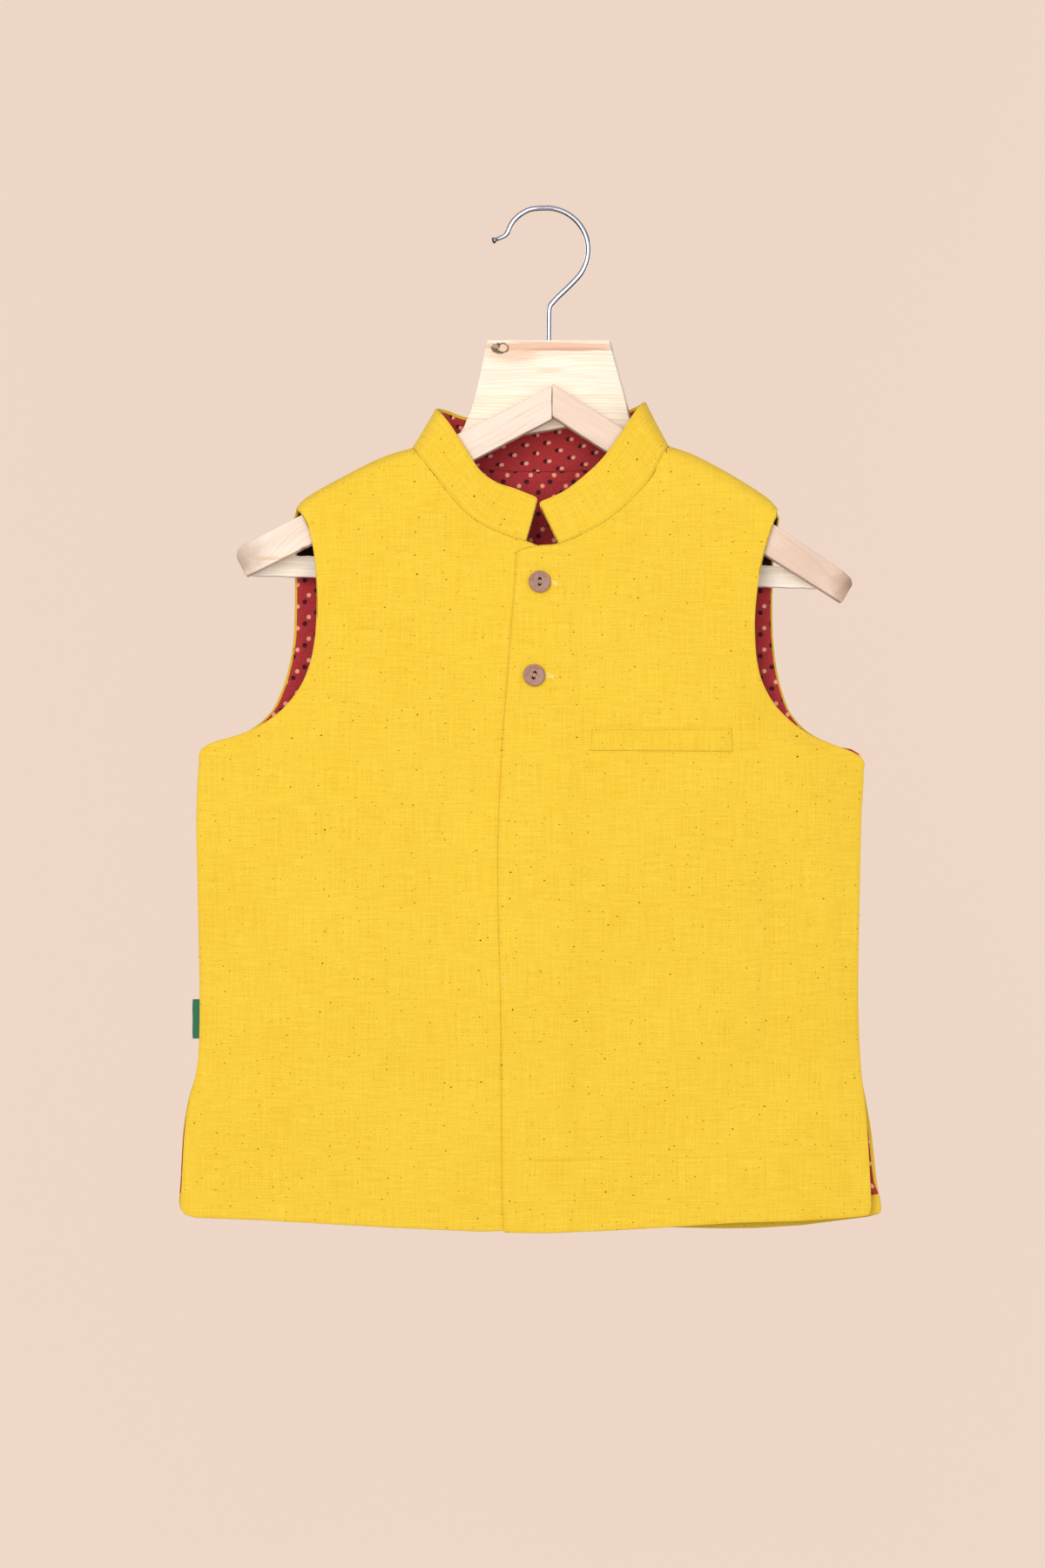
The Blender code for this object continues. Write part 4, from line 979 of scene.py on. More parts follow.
for cell, share, small, big, hexcode, depth in (
    (2.9, 0.5, 0.05, 0.16, "#C08F12", 0.45), (6.6, 0.44, 0.038, 0.08, "#8A5E0C", 0.85),
    (14.5, 0.55, 0.016, 0.04, "#5A3000", 1.0),
):
    spread = vector(tree, "MULTIPLY_ADD", ragged.outputs["Color"], (0.9, 0.5, 0.0), place)
    cells = vector(tree, "MULTIPLY", spread, (0.8 / cell, 1.1 / cell, 0.0))
    specks = add_node(
        tree, "ShaderNodeTexVoronoi", {"Vector": cells, "Scale": 1.0}, voronoi_dimensions="2D"
    )
    draws = add_node(tree, "ShaderNodeSeparateColor", {0: specks.outputs["Color"]})
    radius = ramp(tree, draws.outputs[0], 1.0 - share, 1.0, small, big)
    inside = calc(tree, "SUBTRACT", radius, specks.outputs["Distance"])
    soft = ramp(tree, inside, -0.2 * small, 0.9 * small, 0.0, depth, smooth=True)
    present = calc(tree, "GREATER_THAN", draws.outputs[0], 1.0 - share)
    shown = calc(tree, "MULTIPLY", soft, present)
    faded = calc(tree, "MULTIPLY_ADD", draws.outputs[1], 0.6, 0.4)
    share_now = calc(tree, "MULTIPLY", shown, faded)
    colour = mix(tree, share_now, colour, linear(hexcode))
# Painted shade: round every rim the yellow turns towards a deep ochre
rim_shade = add_node(tree, "ShaderNodeAttribute", attribute_name="shade").outputs["Fac"]
rim_shade_share = calc(tree, "MULTIPLY", rim_shade, RIM_SHADE_PAINT)
colour = mix(tree, rim_shade_share, colour, linear("#B07A12"))
tree.links.new(colour, shader.inputs["Base Color"])
relief = calc(tree, "MULTIPLY_ADD", weft, 0.95, weave)
relief = calc(tree, "MULTIPLY_ADD", warp, 0.7, relief)
relief = calc(tree, "MULTIPLY_ADD", thick_yarn, 0.5, relief)
set_relief(tree, shader, relief, 0.7, 0.00025)


def make_panel(name, panel, press, turn):
    """A panel's cloth, finer where the cloth has a pressed line."""
    middle = panel.last / 2
    rows = [-1.0 + k / ARCH_STEPS for k in range(ARCH_STEPS)]
    down = even_steps(lambda r: panel.point(middle, r), 0.0, panel.foot, GRID_STEP)
    heights = np.array([panel.point(middle, r).z for r in down])
    down += [float(np.interp(-z, -heights, down)) for z in press]
    rows += sorted(down)
    line = even_steps(
        lambda u: panel.point(u, COLUMN_ROW), 0.0, panel.last, GRID_STEP, panel.corners
    )
    face, cut = cloth_face(panel, [line] * len(rows), rows)
    return rounded_sheet(name, face, CLOTH, cut, yellow, turn)


right_front = front_right_panel()
left_front = front_left_panel()
whole_back = back_panel()
cloth_right = make_panel("cloth_front_right", right_front, PRESS_RIGHT, -1)
cloth_left = make_panel("cloth_front_left", left_front, PRESS_LEFT, -1)
cloth_back = make_panel("cloth_back", whole_back, (), 1)
for piece, node in (
    (cloth_right, "front_right"), (cloth_left, "front_left"), (cloth_back, "back")
):
    settle(piece, "cloth_yellow", node)

# Collar: a stand-up band of the yellow cloth over a stiff interfacing, cut on the straight
# grain. Its front ends are rounded and nearly meet, a little apart at the neck seam.
COLLAR_THICK = 1.6
COLLAR_CORNER = 3.4
COLLAR_STEP = 1.7


def collar_length(w):
    """Corner distances are measured along the top edge at the collar's end."""
    span = (collar_top(1) - collar_top(0)).length
    return min(w, COLLAR_END - w) * span


def corner_fall(distance):
    """How far the rounded corner falls below the top edge near an end."""
    if distance >= COLLAR_CORNER:
        return 0.0
    return COLLAR_CORNER - math.sqrt(max(COLLAR_CORNER ** 2 - (COLLAR_CORNER - distance) ** 2, 0))


def collar_grid(lo, hi, ends, depth, rows):
    """Points of the band between two shares of its height, and their place on the cut."""
    span = (collar_top(1) - collar_top(0)).length
    near = [ends + COLLAR_CORNER * k / span for k in (0.0, 0.06, 0.16, 0.3, 0.48, 0.72, 1.0)]
    middle = even_steps(collar_base, near[-1] + 0.08, COLLAR_END - near[-1] - 0.08, COLLAR_STEP)
    stations = near + list(middle) + [COLLAR_END - w for w in reversed(near)]
    grid, flat = [], []
    run = 0.0
    for k, w in enumerate(stations):
        base, top = collar_base(w), collar_top(w)
        height = (top - base).length
        if k:
            run += (base.lerp(top, 0.5) - last_mid).length
        last_mid = base.lerp(top, 0.5)
        w0, w1 = max(w - 0.02, 0.0), min(w + 0.02, float(COLLAR_END))
        along = collar_base(w1).lerp(collar_top(w1), 0.5)
        along -= collar_base(w0).lerp(collar_top(w0), 0.5)
        out = (top - base).cross(along).normalized()
        reach = hi - corner_fall(collar_length(w) - ends * span) / height
        line, spots = [], []
        for n in range(rows + 1):
            h = lerp(lo, reach, n / rows)
            line.append(base.lerp(top, h) - out * depth)
            spots.append((h * height, run, 0.0))
        grid.append(line)
        flat.append(spots)
    return np.array(grid).transpose(1, 0, 2), np.array(flat).transpose(1, 0, 2)


face, cut = collar_grid(0.0, 1.0, 0.0, 0.0, 14)
lengths = np.cumsum(np.linalg.norm(np.diff(face[7], axis=0), axis=1))
soft = 0.16 * np.sin(np.concatenate([[0.0], lengths]) / 23.0) * np.linspace(0, 1, 15)[:, None]
out = -unit(np.cross(np.gradient(face, axis=1), np.gradient(face, axis=0)))
face = face + out * soft[..., None]
collar = rounded_sheet("cloth_collar", face, COLLAR_THICK, cut[..., [1, 0, 2]], yellow, -1)
settle(collar, "cloth_yellow", "collar")

# Lining: thin red cotton with a small dot print in half drop, in the body and the collar. It
# is seamed to the turned edges, a little inside them, and ends over a 12 mm yellow hem turning.
LINING = 0.6
LINING_DEPTH = 1.45
LINING_HEM = 12.0
LINING_STEP = 3.4
FACING_RIGHT_X = 9.0
STAND_INSET = 2.2
ROLL_OUT = 2.2
ROLL_WAY = (0.5, -0.6, 0.85)
NECK_SLACK = 0.9
UNDER_BAR_Z = -208.5
ARMHOLE_INSET = 1.3
ROLLED_INSET = 1.0
SEAM_INSET = 3.2
VENT_INSET = 1.6
SEAM_ROWS = (10.2, 16.2)
DOT_ACROSS = 13.6
DOT_DOWN = 12.7
CREAM_R = 1.36
DARK_R = 1.5
BODY_DARK = (4.4, 2.5)
COLLAR_DARK = (-2.1, 0.4)


def dot_print(name, dark_step):
    """Red cotton printed with cream and near-black dots, the dark ones a step from the cream."""
    made, tree, shader = new_material(
        name, Roughness=0.88, Specular_IOR_Level=0.2, Sheen_Weight=0.08, Sheen_Roughness=0.5,
    )
    place = add_node(tree, "ShaderNodeAttribute", attribute_name="cut").outputs["Vector"]
    shaky = noise(tree, place, 1.1, 2.0)
    spot = vector(tree, "MULTIPLY_ADD", shaky.outputs["Color"], (0.55, 0.55, 0.0), place)
    yarn = vector(tree, "MULTIPLY", place, (0.25, 2.2, 0.0))
    yarn_two = vector(tree, "MULTIPLY", place, (2.2, 0.25, 0.0))
    weft = noise(tree, yarn, 1.0, 3.0)
    warp = noise(tree, yarn_two, 1.0, 3.0)
    both = calc(tree, "ADD", weft, warp)
    tone = ramp(tree, both, 0.65, 1.35)
    colour = mix(tree, tone, linear("#9C2B30"), linear("#BE3C3F"))
    reaches = []
    for dx, dz in ((0.0, 0.0), dark_step):
        nearest = []
        for half in (0.0, 0.5):
            shifted = vector(
                tree, "SUBTRACT", spot, (dx + half * DOT_ACROSS, dz + half * DOT_DOWN, 0.0)
            )
            wrapped = vector(
                tree,
                "WRAP",
                shifted,
                (DOT_ACROSS / 2, DOT_DOWN / 2, 0.5),
                (-DOT_ACROSS / 2, -DOT_DOWN / 2, -0.5),
            )
            flat = vector(tree, "MULTIPLY", wrapped, (1.0, 1.0, 0.0))
            nearest.append(vector(tree, "LENGTH", flat))
        reaches.append(
            calc(tree, "MINIMUM", nearest[0].outputs["Value"], nearest[1].outputs["Value"])
        )
    for reach, radius, hexcode in (
        (reaches[1], DARK_R, "#33161F"), (reaches[0], CREAM_R, "#F0998A"),
        (reaches[0], 0.72 * CREAM_R, "#F3B387"),
    ):
        inside = ramp(tree, reach, radius + 0.12, radius - 0.2, 0.0, 0.93, smooth=True)
        colour = mix(tree, inside, colour, linear(hexcode))
    # Painted shade and shadow: near-black red at the collar lining's rims, and on the back's lining
    # above the bar
    deep = add_node(tree, "ShaderNodeAttribute", attribute_name="shade").outputs["Fac"]
    colour = mix(tree, deep, colour, linear("#260A0C"))
    tree.links.new(colour, shader.inputs["Base Color"])
    set_relief(tree, shader, both, 0.3, 0.00012)
    return made


red_body = dot_print("dot_printed_cotton_body", BODY_DARK)
red_collar = dot_print("dot_printed_cotton_collar", COLLAR_DARK)


def lining_inset(panel, r, side):
    """Distance of the lining's edge from the cloth's: armhole, side seam, then vent.

    The left front's lining stops at FACING_RIGHT_X, and leaves the stand's own cloth bare.
    """
    armhole, vent = ARMHOLE_INSET, VENT_INSET
    if panel.side == "back" and side > 0:
        armhole = ROLLED_INSET
    if panel.side == "back" and side < 0:
        vent = 0.0
    if panel.side == "right" and side > 0:
        return STAND_INSET
    if panel.side == "left" and side < 0:
        return FACING_RIGHT_X - panel.point(0.0, r).x
    inset = lerp(armhole, SEAM_INSET, ease((r - SEAM_ROWS[0]) / 0.8))
    return lerp(inset, vent, ease((r - SEAM_ROWS[1]) / 1.6))


def make_lining(name, panel, turn, slide, top_slack):
    """Lining of a panel, one step inside the cloth. slide moves the print sideways, in mm.

    It is let in a little deeper at the neck points. Above the bar its colour takes a painted shadow.
    The back's rolls out a little at the foot of the wearer's left armhole.
    """
    middle = panel.last / 2
    rows = [-1.0 + top_slack + k / 8 for k in range(8)]
    rows += even_steps(lambda v: panel.point(middle, v), 0.0, panel.foot - 0.9, LINING_STEP)
    counts = [
        max(int(64 * (b - a) / panel.last), 4) for a, b in zip(panel.corners, panel.corners[1:])
    ]
    columns = []
    for r in rows:
        ends = []
        for start, sign in ((0.0, 1), (panel.last, -1)):
            edge = panel.point(start, r)
            inset = lining_inset(panel, r, -sign)
            u = start
            while (panel.point(u, r) - edge).length < inset:
                u += 0.01 * sign
            ends.append(u)
        marks = [ends[0], *panel.corners[1:-1], ends[1]]
        line = [marks[0]]
        for a, b, count in zip(marks, marks[1:], counts):
            line += list(np.linspace(a, b, count + 1)[1:])
        columns.append(line)
    face, cut = cloth_face(panel, columns, rows, 0.0)
    foot = np.array([at_key(panel.hem, x) for x in face[-1, :, 0]]) + LINING_HEM
    low = face[-1].copy()
    low[:, 2] = foot
    face = np.concatenate([face[face[:, :, 2].min(axis=1) > foot.max() + 1.0], low[None]])
    cut = cut[:len(face)]
    cut[-1, :, 1] = foot
    normal = turn * unit(np.cross(np.gradient(face, axis=1), np.gradient(face, axis=0)))
    cut = cut + (slide, 0.0, 0.0)
    stations = np.array(columns)[:len(face)]
    near = sum(np.exp(-((stations - c) / 0.7) ** 2) for c in panel.corners[1:-1])
    near = near * ease((2.5 - np.array(rows)[:len(face), None]) / 3.0)
    slack = near[..., None] * (0.0, -NECK_SLACK if panel.side == "back" else NECK_SLACK, -0.5)
    inner = face - normal * LINING_DEPTH + slack
    if panel.side == "back":
        heights = np.array(rows)[:len(face)]
        roll = ease((heights - 9.4) / 0.4) * ease((10.6 - heights) / 0.5)
        for back_by, share in ((1, 1.0), (2, 0.5)):
            inner[:, -back_by] += ROLL_OUT * share * roll[:, None] * ROLL_WAY
    made = rounded_sheet(name, inner, LINING, cut, red_body, turn, 3)
    # Painted shadow on the back's lining between the battens and the bar; all other shade is cleared
    spots = np.empty(3 * len(made.data.vertices))
    made.data.vertices.foreach_get("co", spots)
    x, _, z = spots.reshape(-1, 3).T / MM
    painted_bar_shadow = ease((z - UNDER_BAR_Z) / 4.0) * ease((np.abs(x) - 95.0) / 15.0) * (panel.side == "back")
    made.data.attributes["shade"].data.foreach_set("value", painted_bar_shadow.astype(np.float32))
    return made


lining_right = make_lining("lining_print_front_right", right_front, -1, 0.0, 0.05)
lining_left = make_lining("lining_print_front_left", left_front, -1, 3.0, 0.05)
lining_back = make_lining("lining_print_back", whole_back, 1, 22.4, 0.03)
for piece, node in (
    (lining_right, "lining_front_right"), (lining_left, "lining_front_left"),
    (lining_back, "lining_back"),
):
    settle(piece, "lining_red", node)

# The collar's lining is cut a little off the grain and seamed at the centre back: its print
# climbs to the viewer's right, and steps at the seam
COLLAR_SEAM_X = -6.3
PRINT_X = 1.9
PRINT_Z = 16.8
PRINT_TIGHT = 1.187
PRINT_CLIMB = (0.1, 0.138)
face, cut = collar_grid(-0.012, 0.935, 0.12, LINING_DEPTH + 0.35, 8)
middle = face.shape[1] // 2
level = int(np.argmin(np.abs(face[0, :, 0] - PRINT_X) + 99.0 * (face[0, :, 1] < 8.0)))
run = cut[..., 1] - cut[0, level, 1]
around = slice(middle - 6, middle + 7)
seam = float(np.interp(COLLAR_SEAM_X, face[0, around, 0], run[0, around]))
left = run < seam
run = np.where(left, run - 0.8, run)
up = (cut[..., 0] - PRINT_Z) * PRINT_TIGHT - np.where(left, *PRINT_CLIMB) * PRINT_TIGHT * run
groove = 0.3 * np.exp(-((cut[..., 1] - cut[0, level, 1] - seam) / 0.5) ** 2)
out = -unit(np.cross(np.gradient(face, axis=1), np.gradient(face, axis=0)))
cut = np.stack([run, up, 0 * up], axis=2)
collar_red = rounded_sheet(
    "lining_print_collar", face + out * groove[..., None], LINING, cut, red_collar, -1, 3
)
settle(collar_red, "lining_red", "collar_lining")

# Chest pocket: a single welt of the front's cloth, folded and fused, 82 mm by 12 mm, over a
# narrow folded jet at the pocket's mouth. The ends and the foot of the welt are sewn down,
# its top edge is free.
WELT_CORNERS = ((24.8, -313.3), (107.0, -313.9), (106.3, -301.0), (26.0, -301.5))
JET_CORNERS = ((26.2, -304.0), (106.0, -304.0), (106.3, -299.7), (26.2, -299.6))
WELT_THICK = 0.95
JET_THICK = 0.5


def on_cloth(cloth, x, z, lift):
    """Point on the finished outer face of a front at x and z, raised by lift."""
    start = Vector((x, FRONT_PLANE - 60.0, z)) * MM
    found, spot, normal, _ = cloth.ray_cast(start, Vector((0.0, 1.0, 0.0)))
    if not found:
        return np.array((x, FRONT_PLANE, z))
    return np.array(spot / MM + normal * lift)


def patch(corners, lift, nx, nz):
    """Grid of points on the left front between four corners, with their place on the cut."""
    (x0, z0), (x1, z1), (x2, z2), (x3, z3) = corners
    grid, flat = [], []
    for i in range(nz + 1):
        t = 1.0 - i / nz
        line, spots = [], []
        for j in range(nx + 1):
            s = j / nx
            x = lerp(lerp(x0, x1, s), lerp(x3, x2, s), t)
            z = lerp(lerp(z0, z1, s), lerp(z3, z2, s), t)
            line.append(on_cloth(cloth_left, x, z, lift(s, t)))
            spots.append((z + 391.0, x + 17.0, 0.0))
        grid.append(line)
        flat.append(spots)
    return np.array(grid), np.array(flat)


def welt_lift(s, t):
    """Height of the welt's face: pressed down at its ends and foot, easy at its mouth."""
    ends = ease(min(s, 1.0 - s) / 0.025)
    loose = 0.14 * math.sin(5.2 * s + 0.6) * t ** 2
    return 0.8 + 0.16 * ends + (0.3 * ease((t - 0.2) / 0.8) + loose) * ends


face, cut = patch(JET_CORNERS, lambda s, t: 0.42 + 0.1 * math.sin(9.0 * s) * t, 54, 4)
jet = rounded_sheet("cloth_pocket_jet", face, JET_THICK, cut, yellow, -1, 3)
face, cut = patch(WELT_CORNERS, welt_lift, 54, 12)
welt = rounded_sheet("cloth_pocket_welt", face, WELT_THICK, cut, yellow, -1, 4)
settle(jet, "cloth_yellow", "welt")
settle(welt, "cloth_yellow", "welt")

# Buttons: two turned from coconut shell, 12.6 mm across, dished, with two drilled holes, and
# sewn on through the stand with doubled thread. The shell is speckled with pale fibre ends.
BUTTON_R = 6.3
BUTTON_THICK = 2.4
BUTTON_RIM = 0.75
BUTTON_DISH = 0.35
BUTTON_SIDES = 64
HOLE_R = 1.0
HOLE_STEP = 2.9
THREAD_R = 0.22
BUTTONS = (
    ("upper", -4.0, -216.6, math.radians(88.0)), ("lower", -7.2, -270.2, math.radians(74.0)),
)

shell, tree, shader = new_material("turned_coconut_shell", Specular_IOR_Level=0.45)
place = add_node(tree, "ShaderNodeTexCoord").outputs["Object"]
mottle = noise(tree, place, 420.0, 4.0)
ground = ramp(tree, mottle, 0.3, 0.7)
colour = mix(tree, ground, linear("#8C6454"), linear("#AE8472"))
for scale, hexcode, reach, depth in (
    (1500.0, "#DDBBA6", 0.24, 0.75), (1900.0, "#6B4538", 0.2, 0.8)
):
    grain = add_node(tree, "ShaderNodeTexVoronoi", {"Vector": place, "Scale": scale})
    speck = ramp(tree, grain.outputs["Distance"], reach, 0.0, 0.0, depth)
    colour = mix(tree, speck, colour, linear(hexcode))
tree.links.new(colour, shader.inputs["Base Color"])
gloss = ramp(tree, mottle, 0.3, 0.7, 0.34, 0.55)
tree.links.new(gloss.outputs[0], shader.inputs["Roughness"])
set_relief(tree, shader, mottle, 0.3, 0.0001)
# The holes stop short of the back, and inside them the shell is painted near black: painted shade,
# where little light gets in
hole_shade = new_material(
    "shell_bore_painted_shade", Base_Color=linear("#2C1810"), Roughness=0.85, Specular_IOR_Level=0.1
)[0]


def thread_material(name, hexcode):
    """Spun cotton sewing thread."""
    return new_material(
        name, Base_Color=linear(hexcode), Roughness=0.8, Sheen_Weight=0.2,
        Specular_IOR_Level=0.25,
    )[0]


straw_thread = thread_material("straw_sewing_thread", "#E9D6A0")
salmon_thread = thread_material("salmon_sewing_thread", "#E0957C")


def make_button(name, x, back, z, tilt):
    """A dished disc with a rounded rim and two countersunk holes across its middle."""
    front = back - BUTTON_THICK
    profile = [(BUTTON_R - 2.1, front + BUTTON_DISH), (BUTTON_R - 1.5, front + 0.12)]
    for k in range(7):
        a = math.radians(90.0 * k / 6)
        profile.append((
            BUTTON_R - BUTTON_RIM * (1.0 - math.sin(a)), front + BUTTON_RIM * (1.0 - math.cos(a))
        ))
    profile += [(BUTTON_R - 0.25, back - 0.3), (BUTTON_R - 0.9, back)]
    turns = [2 * math.pi * k / BUTTON_SIDES for k in range(BUTTON_SIDES)]
    verts = [
        (x + r * math.cos(a), y, z + r * math.sin(a)) for r, y in profile for a in turns
    ]
    faces = [tuple(range(BUTTON_SIDES)), tuple(range(len(verts) - BUTTON_SIDES, len(verts)))]
    for i in range(len(profile) - 1):
        for k in range(BUTTON_SIDES):
            j = (k + 1) % BUTTON_SIDES
            a = i * BUTTON_SIDES
            faces.append((a + k, a + j, a + BUTTON_SIDES + j, a + BUTTON_SIDES + k))
    made = make_piece(name, verts, faces, shell)
    for sign in (-1, 1):
        dx = sign * HOLE_STEP / 2 * math.cos(tilt)
        dz = sign * HOLE_STEP / 2 * math.sin(tilt)
        rings = ((front - 1.0, HOLE_R + 1.35), (front + 0.6, HOLE_R), (back - 0.3, HOLE_R))
        centre = [(x + dx, y, z + dz) for y, _ in rings]
        verts, faces = [], []
        sides = 24
        for (cx, cy, cz), (_, r) in zip(centre, rings):
            verts += [
                (cx + r * math.cos(2 * math.pi * k / sides), cy,
                 cz + r * math.sin(2 * math.pi * k / sides)) for k in range(sides)
            ]
        for i in range(len(rings) - 1):
            for k in range(sides):
                j = (k + 1) % sides
                faces.append((i * sides + k, i * sides + j, (i + 1) * sides + j, (i + 1) * sides + k))
        faces += [tuple(range(sides)), tuple(range(2 * sides, 3 * sides))]
        drill = make_piece("drill", verts, faces, shell)
        cut = made.modifiers.new("hole", "BOOLEAN")
        cut.operation = "DIFFERENCE"
        cut.solver = "EXACT"
        cut.object = drill
        graph = bpy.context.evaluated_depsgraph_get()
        mesh = bpy.data.meshes.new_from_object(made.evaluated_get(graph))
        made.modifiers.remove(cut)
        made.data = mesh
        bpy.data.objects.remove(drill)
    # The faces inside the holes take the painted shade
    made.data.materials.clear()
    made.data.materials.append(shell)
    made.data.materials.append(hole_shade)
    for face in made.data.polygons:
        spot = np.array(face.center) / MM - (x, 0.0, z)
        for sign in (-1, 1):
            off = spot[[0, 2]] - sign * HOLE_STEP / 2 * np.array((math.cos(tilt), math.sin(tilt)))
            if np.linalg.norm(off) < HOLE_R + 0.1 and spot[1] > front + BUTTON_DISH + 0.15:
                face.material_index = 1
    made.data.polygons.foreach_set("use_smooth", [True] * len(made.data.polygons))
    made.data.set_sharp_from_angle(angle=math.radians(26))
    return made


for n, (name, x, z, tilt) in enumerate(BUTTONS):
    seat = on_cloth(cloth_left, x, z, 0.15)[1]
    button = make_button(f"shell_button_{name}", x, seat, z, tilt)
    front = seat - BUTTON_THICK + BUTTON_DISH
    reach = np.array((math.cos(tilt), 0.0, math.sin(tilt))) * HOLE_STEP / 2
    centre = np.array((x, 0.0, z))
    strands = []
    lower = name == "lower"
    for k, off in enumerate((-0.24, 0.24)):
        skew = np.array((math.sin(tilt), 0.0, -math.cos(tilt))) * off
        over = -0.2 if lower else 0.5
        path = []
        for t in np.linspace(-1.0, 1.0, 15):
            ends = max(abs(t) - 0.62, 0.0) / 0.38
            spot = centre + reach * (0.9 * t) + skew
            spot[1] = front + over + 0.25 * k * (0.0 if lower else 1.0) + 2.6 * ends ** 1.5
            path.append(spot)
        if lower:
            strands.append(tube(path, [THREAD_R * 1.25] * len(path), 8))
        else:
            half = len(path) // 2
            strands.append(tube(path[:half - 2], [THREAD_R] * (half - 2), 8))
            strands.append(tube(path[half + 3:], [THREAD_R] * (len(path) - half - 3), 8))
    verts, faces = [], []
    for points, sides in strands:
        faces += [tuple(v + len(verts) for v in f) for f in sides]
        verts += list(points)
    thread = make_piece(
        f"button_thread_{name}", verts, faces, salmon_thread if lower else straw_thread
    )
    settle(button, "coconut_shell", f"button_{n + 1}")
    settle(thread, "coconut_shell", f"button_{n + 1}")

# Buttonholes: machine-worked in the stand with pale yellow thread. Each is mostly hidden by
# its button, and its far end with the bar tack shows beside the rim.
HOLE_ENDS = (((-8.5, -213.2), (5.3, -217.6)), ((-11.5, -267.2), (3.3, -271.2)))
ROW_GAP = 0.95
STITCH_STEP = 0.42
STITCH_LONG = 0.62
STITCH_R = 0.17
hole_thread = thread_material("buttonhole_thread_yellow", "#FFEC92")


def stitch_tree():
    """Lays a thread stitch across a line at even steps: Step, Length and Radius in metres."""
    tree = bpy.data.node_groups.new("worked_stitches", "GeometryNodeTree")
    face = tree.interface
    face.new_socket("Geometry", in_out="INPUT", socket_type="NodeSocketGeometry")
    for name in ("Step", "Length", "Radius"):
        face.new_socket(name, in_out="INPUT", socket_type="NodeSocketFloat")
    face.new_socket("Seed", in_out="INPUT", socket_type="NodeSocketInt")
    face.new_socket("Thread", in_out="INPUT", socket_type="NodeSocketMaterial")
    face.new_socket("Geometry", in_out="OUTPUT", socket_type="NodeSocketGeometry")
    given = tree.nodes.new("NodeGroupInput").outputs
    curve = add_node(tree, "GeometryNodeMeshToCurve", {"Mesh": given["Geometry"]})
    even = add_node(
        tree,
        "GeometryNodeResampleCurve",
        {"Curve": curve, "Length": given["Step"]},
        mode="LENGTH",
    )
    wide = calc(tree, "DIVIDE", given["Length"], given["Radius"])
    size = add_node(tree, "ShaderNodeCombineXYZ", {"X": 1.0, "Y": wide, "Z": 1.0})
    ball = add_node(
        tree, "GeometryNodeMeshUVSphere", {"Segments": 8, "Rings": 6, "Radius": given["Radius"]}
    )
    bead = add_node(tree, "GeometryNodeTransform", {"Geometry": ball, "Scale": size})
    ahead = add_node(tree, "GeometryNodeInputTangent")
    facing = add_node(
        tree,
        "FunctionNodeAxesToRotation",
        {"Primary Axis": ahead, "Secondary Axis": (0.0, -1.0, 0.0)},
        primary_axis="X",
        secondary_axis="Z",
    )
    lean = add_node(
        tree,
        "FunctionNodeRandomValue",
        {0: (0.0, 0.0, -0.22), 1: (0.0, 0.0, 0.22), "Seed": given["Seed"]},
        data_type="FLOAT_VECTOR",
    )
    turned = add_node(
        tree,
        "FunctionNodeRotateRotation",
        {
            "Rotation": facing,
            "Rotate By": add_node(tree, "FunctionNodeEulerToRotation", {"Euler": lean}),
        },
        rotation_space="LOCAL",
    )
    laid = add_node(
        tree,
        "GeometryNodeInstanceOnPoints",
        {"Points": even, "Instance": bead, "Rotation": turned},
    )
    real = add_node(tree, "GeometryNodeRealizeInstances", {"Geometry": laid})
    smooth = add_node(tree, "GeometryNodeSetShadeSmooth", {"Geometry": real})
    coloured = add_node(
        tree, "GeometryNodeSetMaterial", {"Geometry": smooth, "Material": given["Thread"]}
    )
    add_node(tree, "NodeGroupOutput", {"Geometry": coloured})
    return tree


stitches = stitch_tree()


def work_stitches(name, paths, step, length, radius, seed, thread):
    """Stitches across lines of points in mm, as a plain mesh object."""
    verts, edges = [], []
    for path in paths:
        edges += [(len(verts) + k, len(verts) + k + 1) for k in range(len(path) - 1)]
        verts += [tuple(np.array(p) * MM) for p in path]
    mesh = bpy.data.meshes.new(name)
    mesh.from_pydata(verts, edges, [])
    made = new_object(name, mesh)
    layer = made.modifiers.new("stitches", "NODES")
    layer.node_group = stitches
    values = {"Step": step * MM, "Length": length * MM, "Radius": radius * MM, "Seed": seed,
              "Thread": thread}
    for item in stitches.interface.items_tree:
        if item.in_out == "INPUT" and item.name in values:
            layer[item.identifier] = values[item.name]
    graph = bpy.context.evaluated_depsgraph_get()
    made.data = bpy.data.meshes.new_from_object(made.evaluated_get(graph))
    made.modifiers.remove(layer)
    return made


for n, ((x0, z0), (x1, z1)) in enumerate(HOLE_ENDS):
    run = unit((x1 - x0, z1 - z0))
    side = np.array((-run[1], run[0]))
    rows = []
    for sign in (-1, 1):
        line = []
        for t in np.linspace(0.0, 1.0, 12):
            gap = sign * ROW_GAP * (1.0 - 0.55 * ease((t - 0.7) / 0.3))
            spot = np.array((lerp(x0, x1, t), lerp(z0, z1, t))) + side * gap
            line.append(on_cloth(cloth_left, spot[0], spot[1], 0.08))
        rows.append(line)
    end = np.array((x1, z1))
    bar = [on_cloth(cloth_left, *(end + run * 0.35 + side * v), 0.14) for v in (-1.1, 0.0, 1.1)]
    rows.append(bar)
    worked = work_stitches(
        f"buttonhole_{n + 1}_stitches", rows, STITCH_STEP, STITCH_LONG, STITCH_R, 5 + n,
        hole_thread,
    )
    settle(worked, "cloth_yellow", "front_left")

# Label: a loop of plain dark green woven tape, folded and caught in the wearer's right side
# seam, with nothing on it. Its cut ends are hidden inside the seam.
LABEL_TOP = -456.9
LABEL_BOTTOM = -479.7
LABEL_SEAM_X = -200.4
LABEL_END_X = -204.5
LABEL_Y = -8.9
LABEL_HALF = 0.72
TAPE_THICK = 0.42
RIB = 0.55

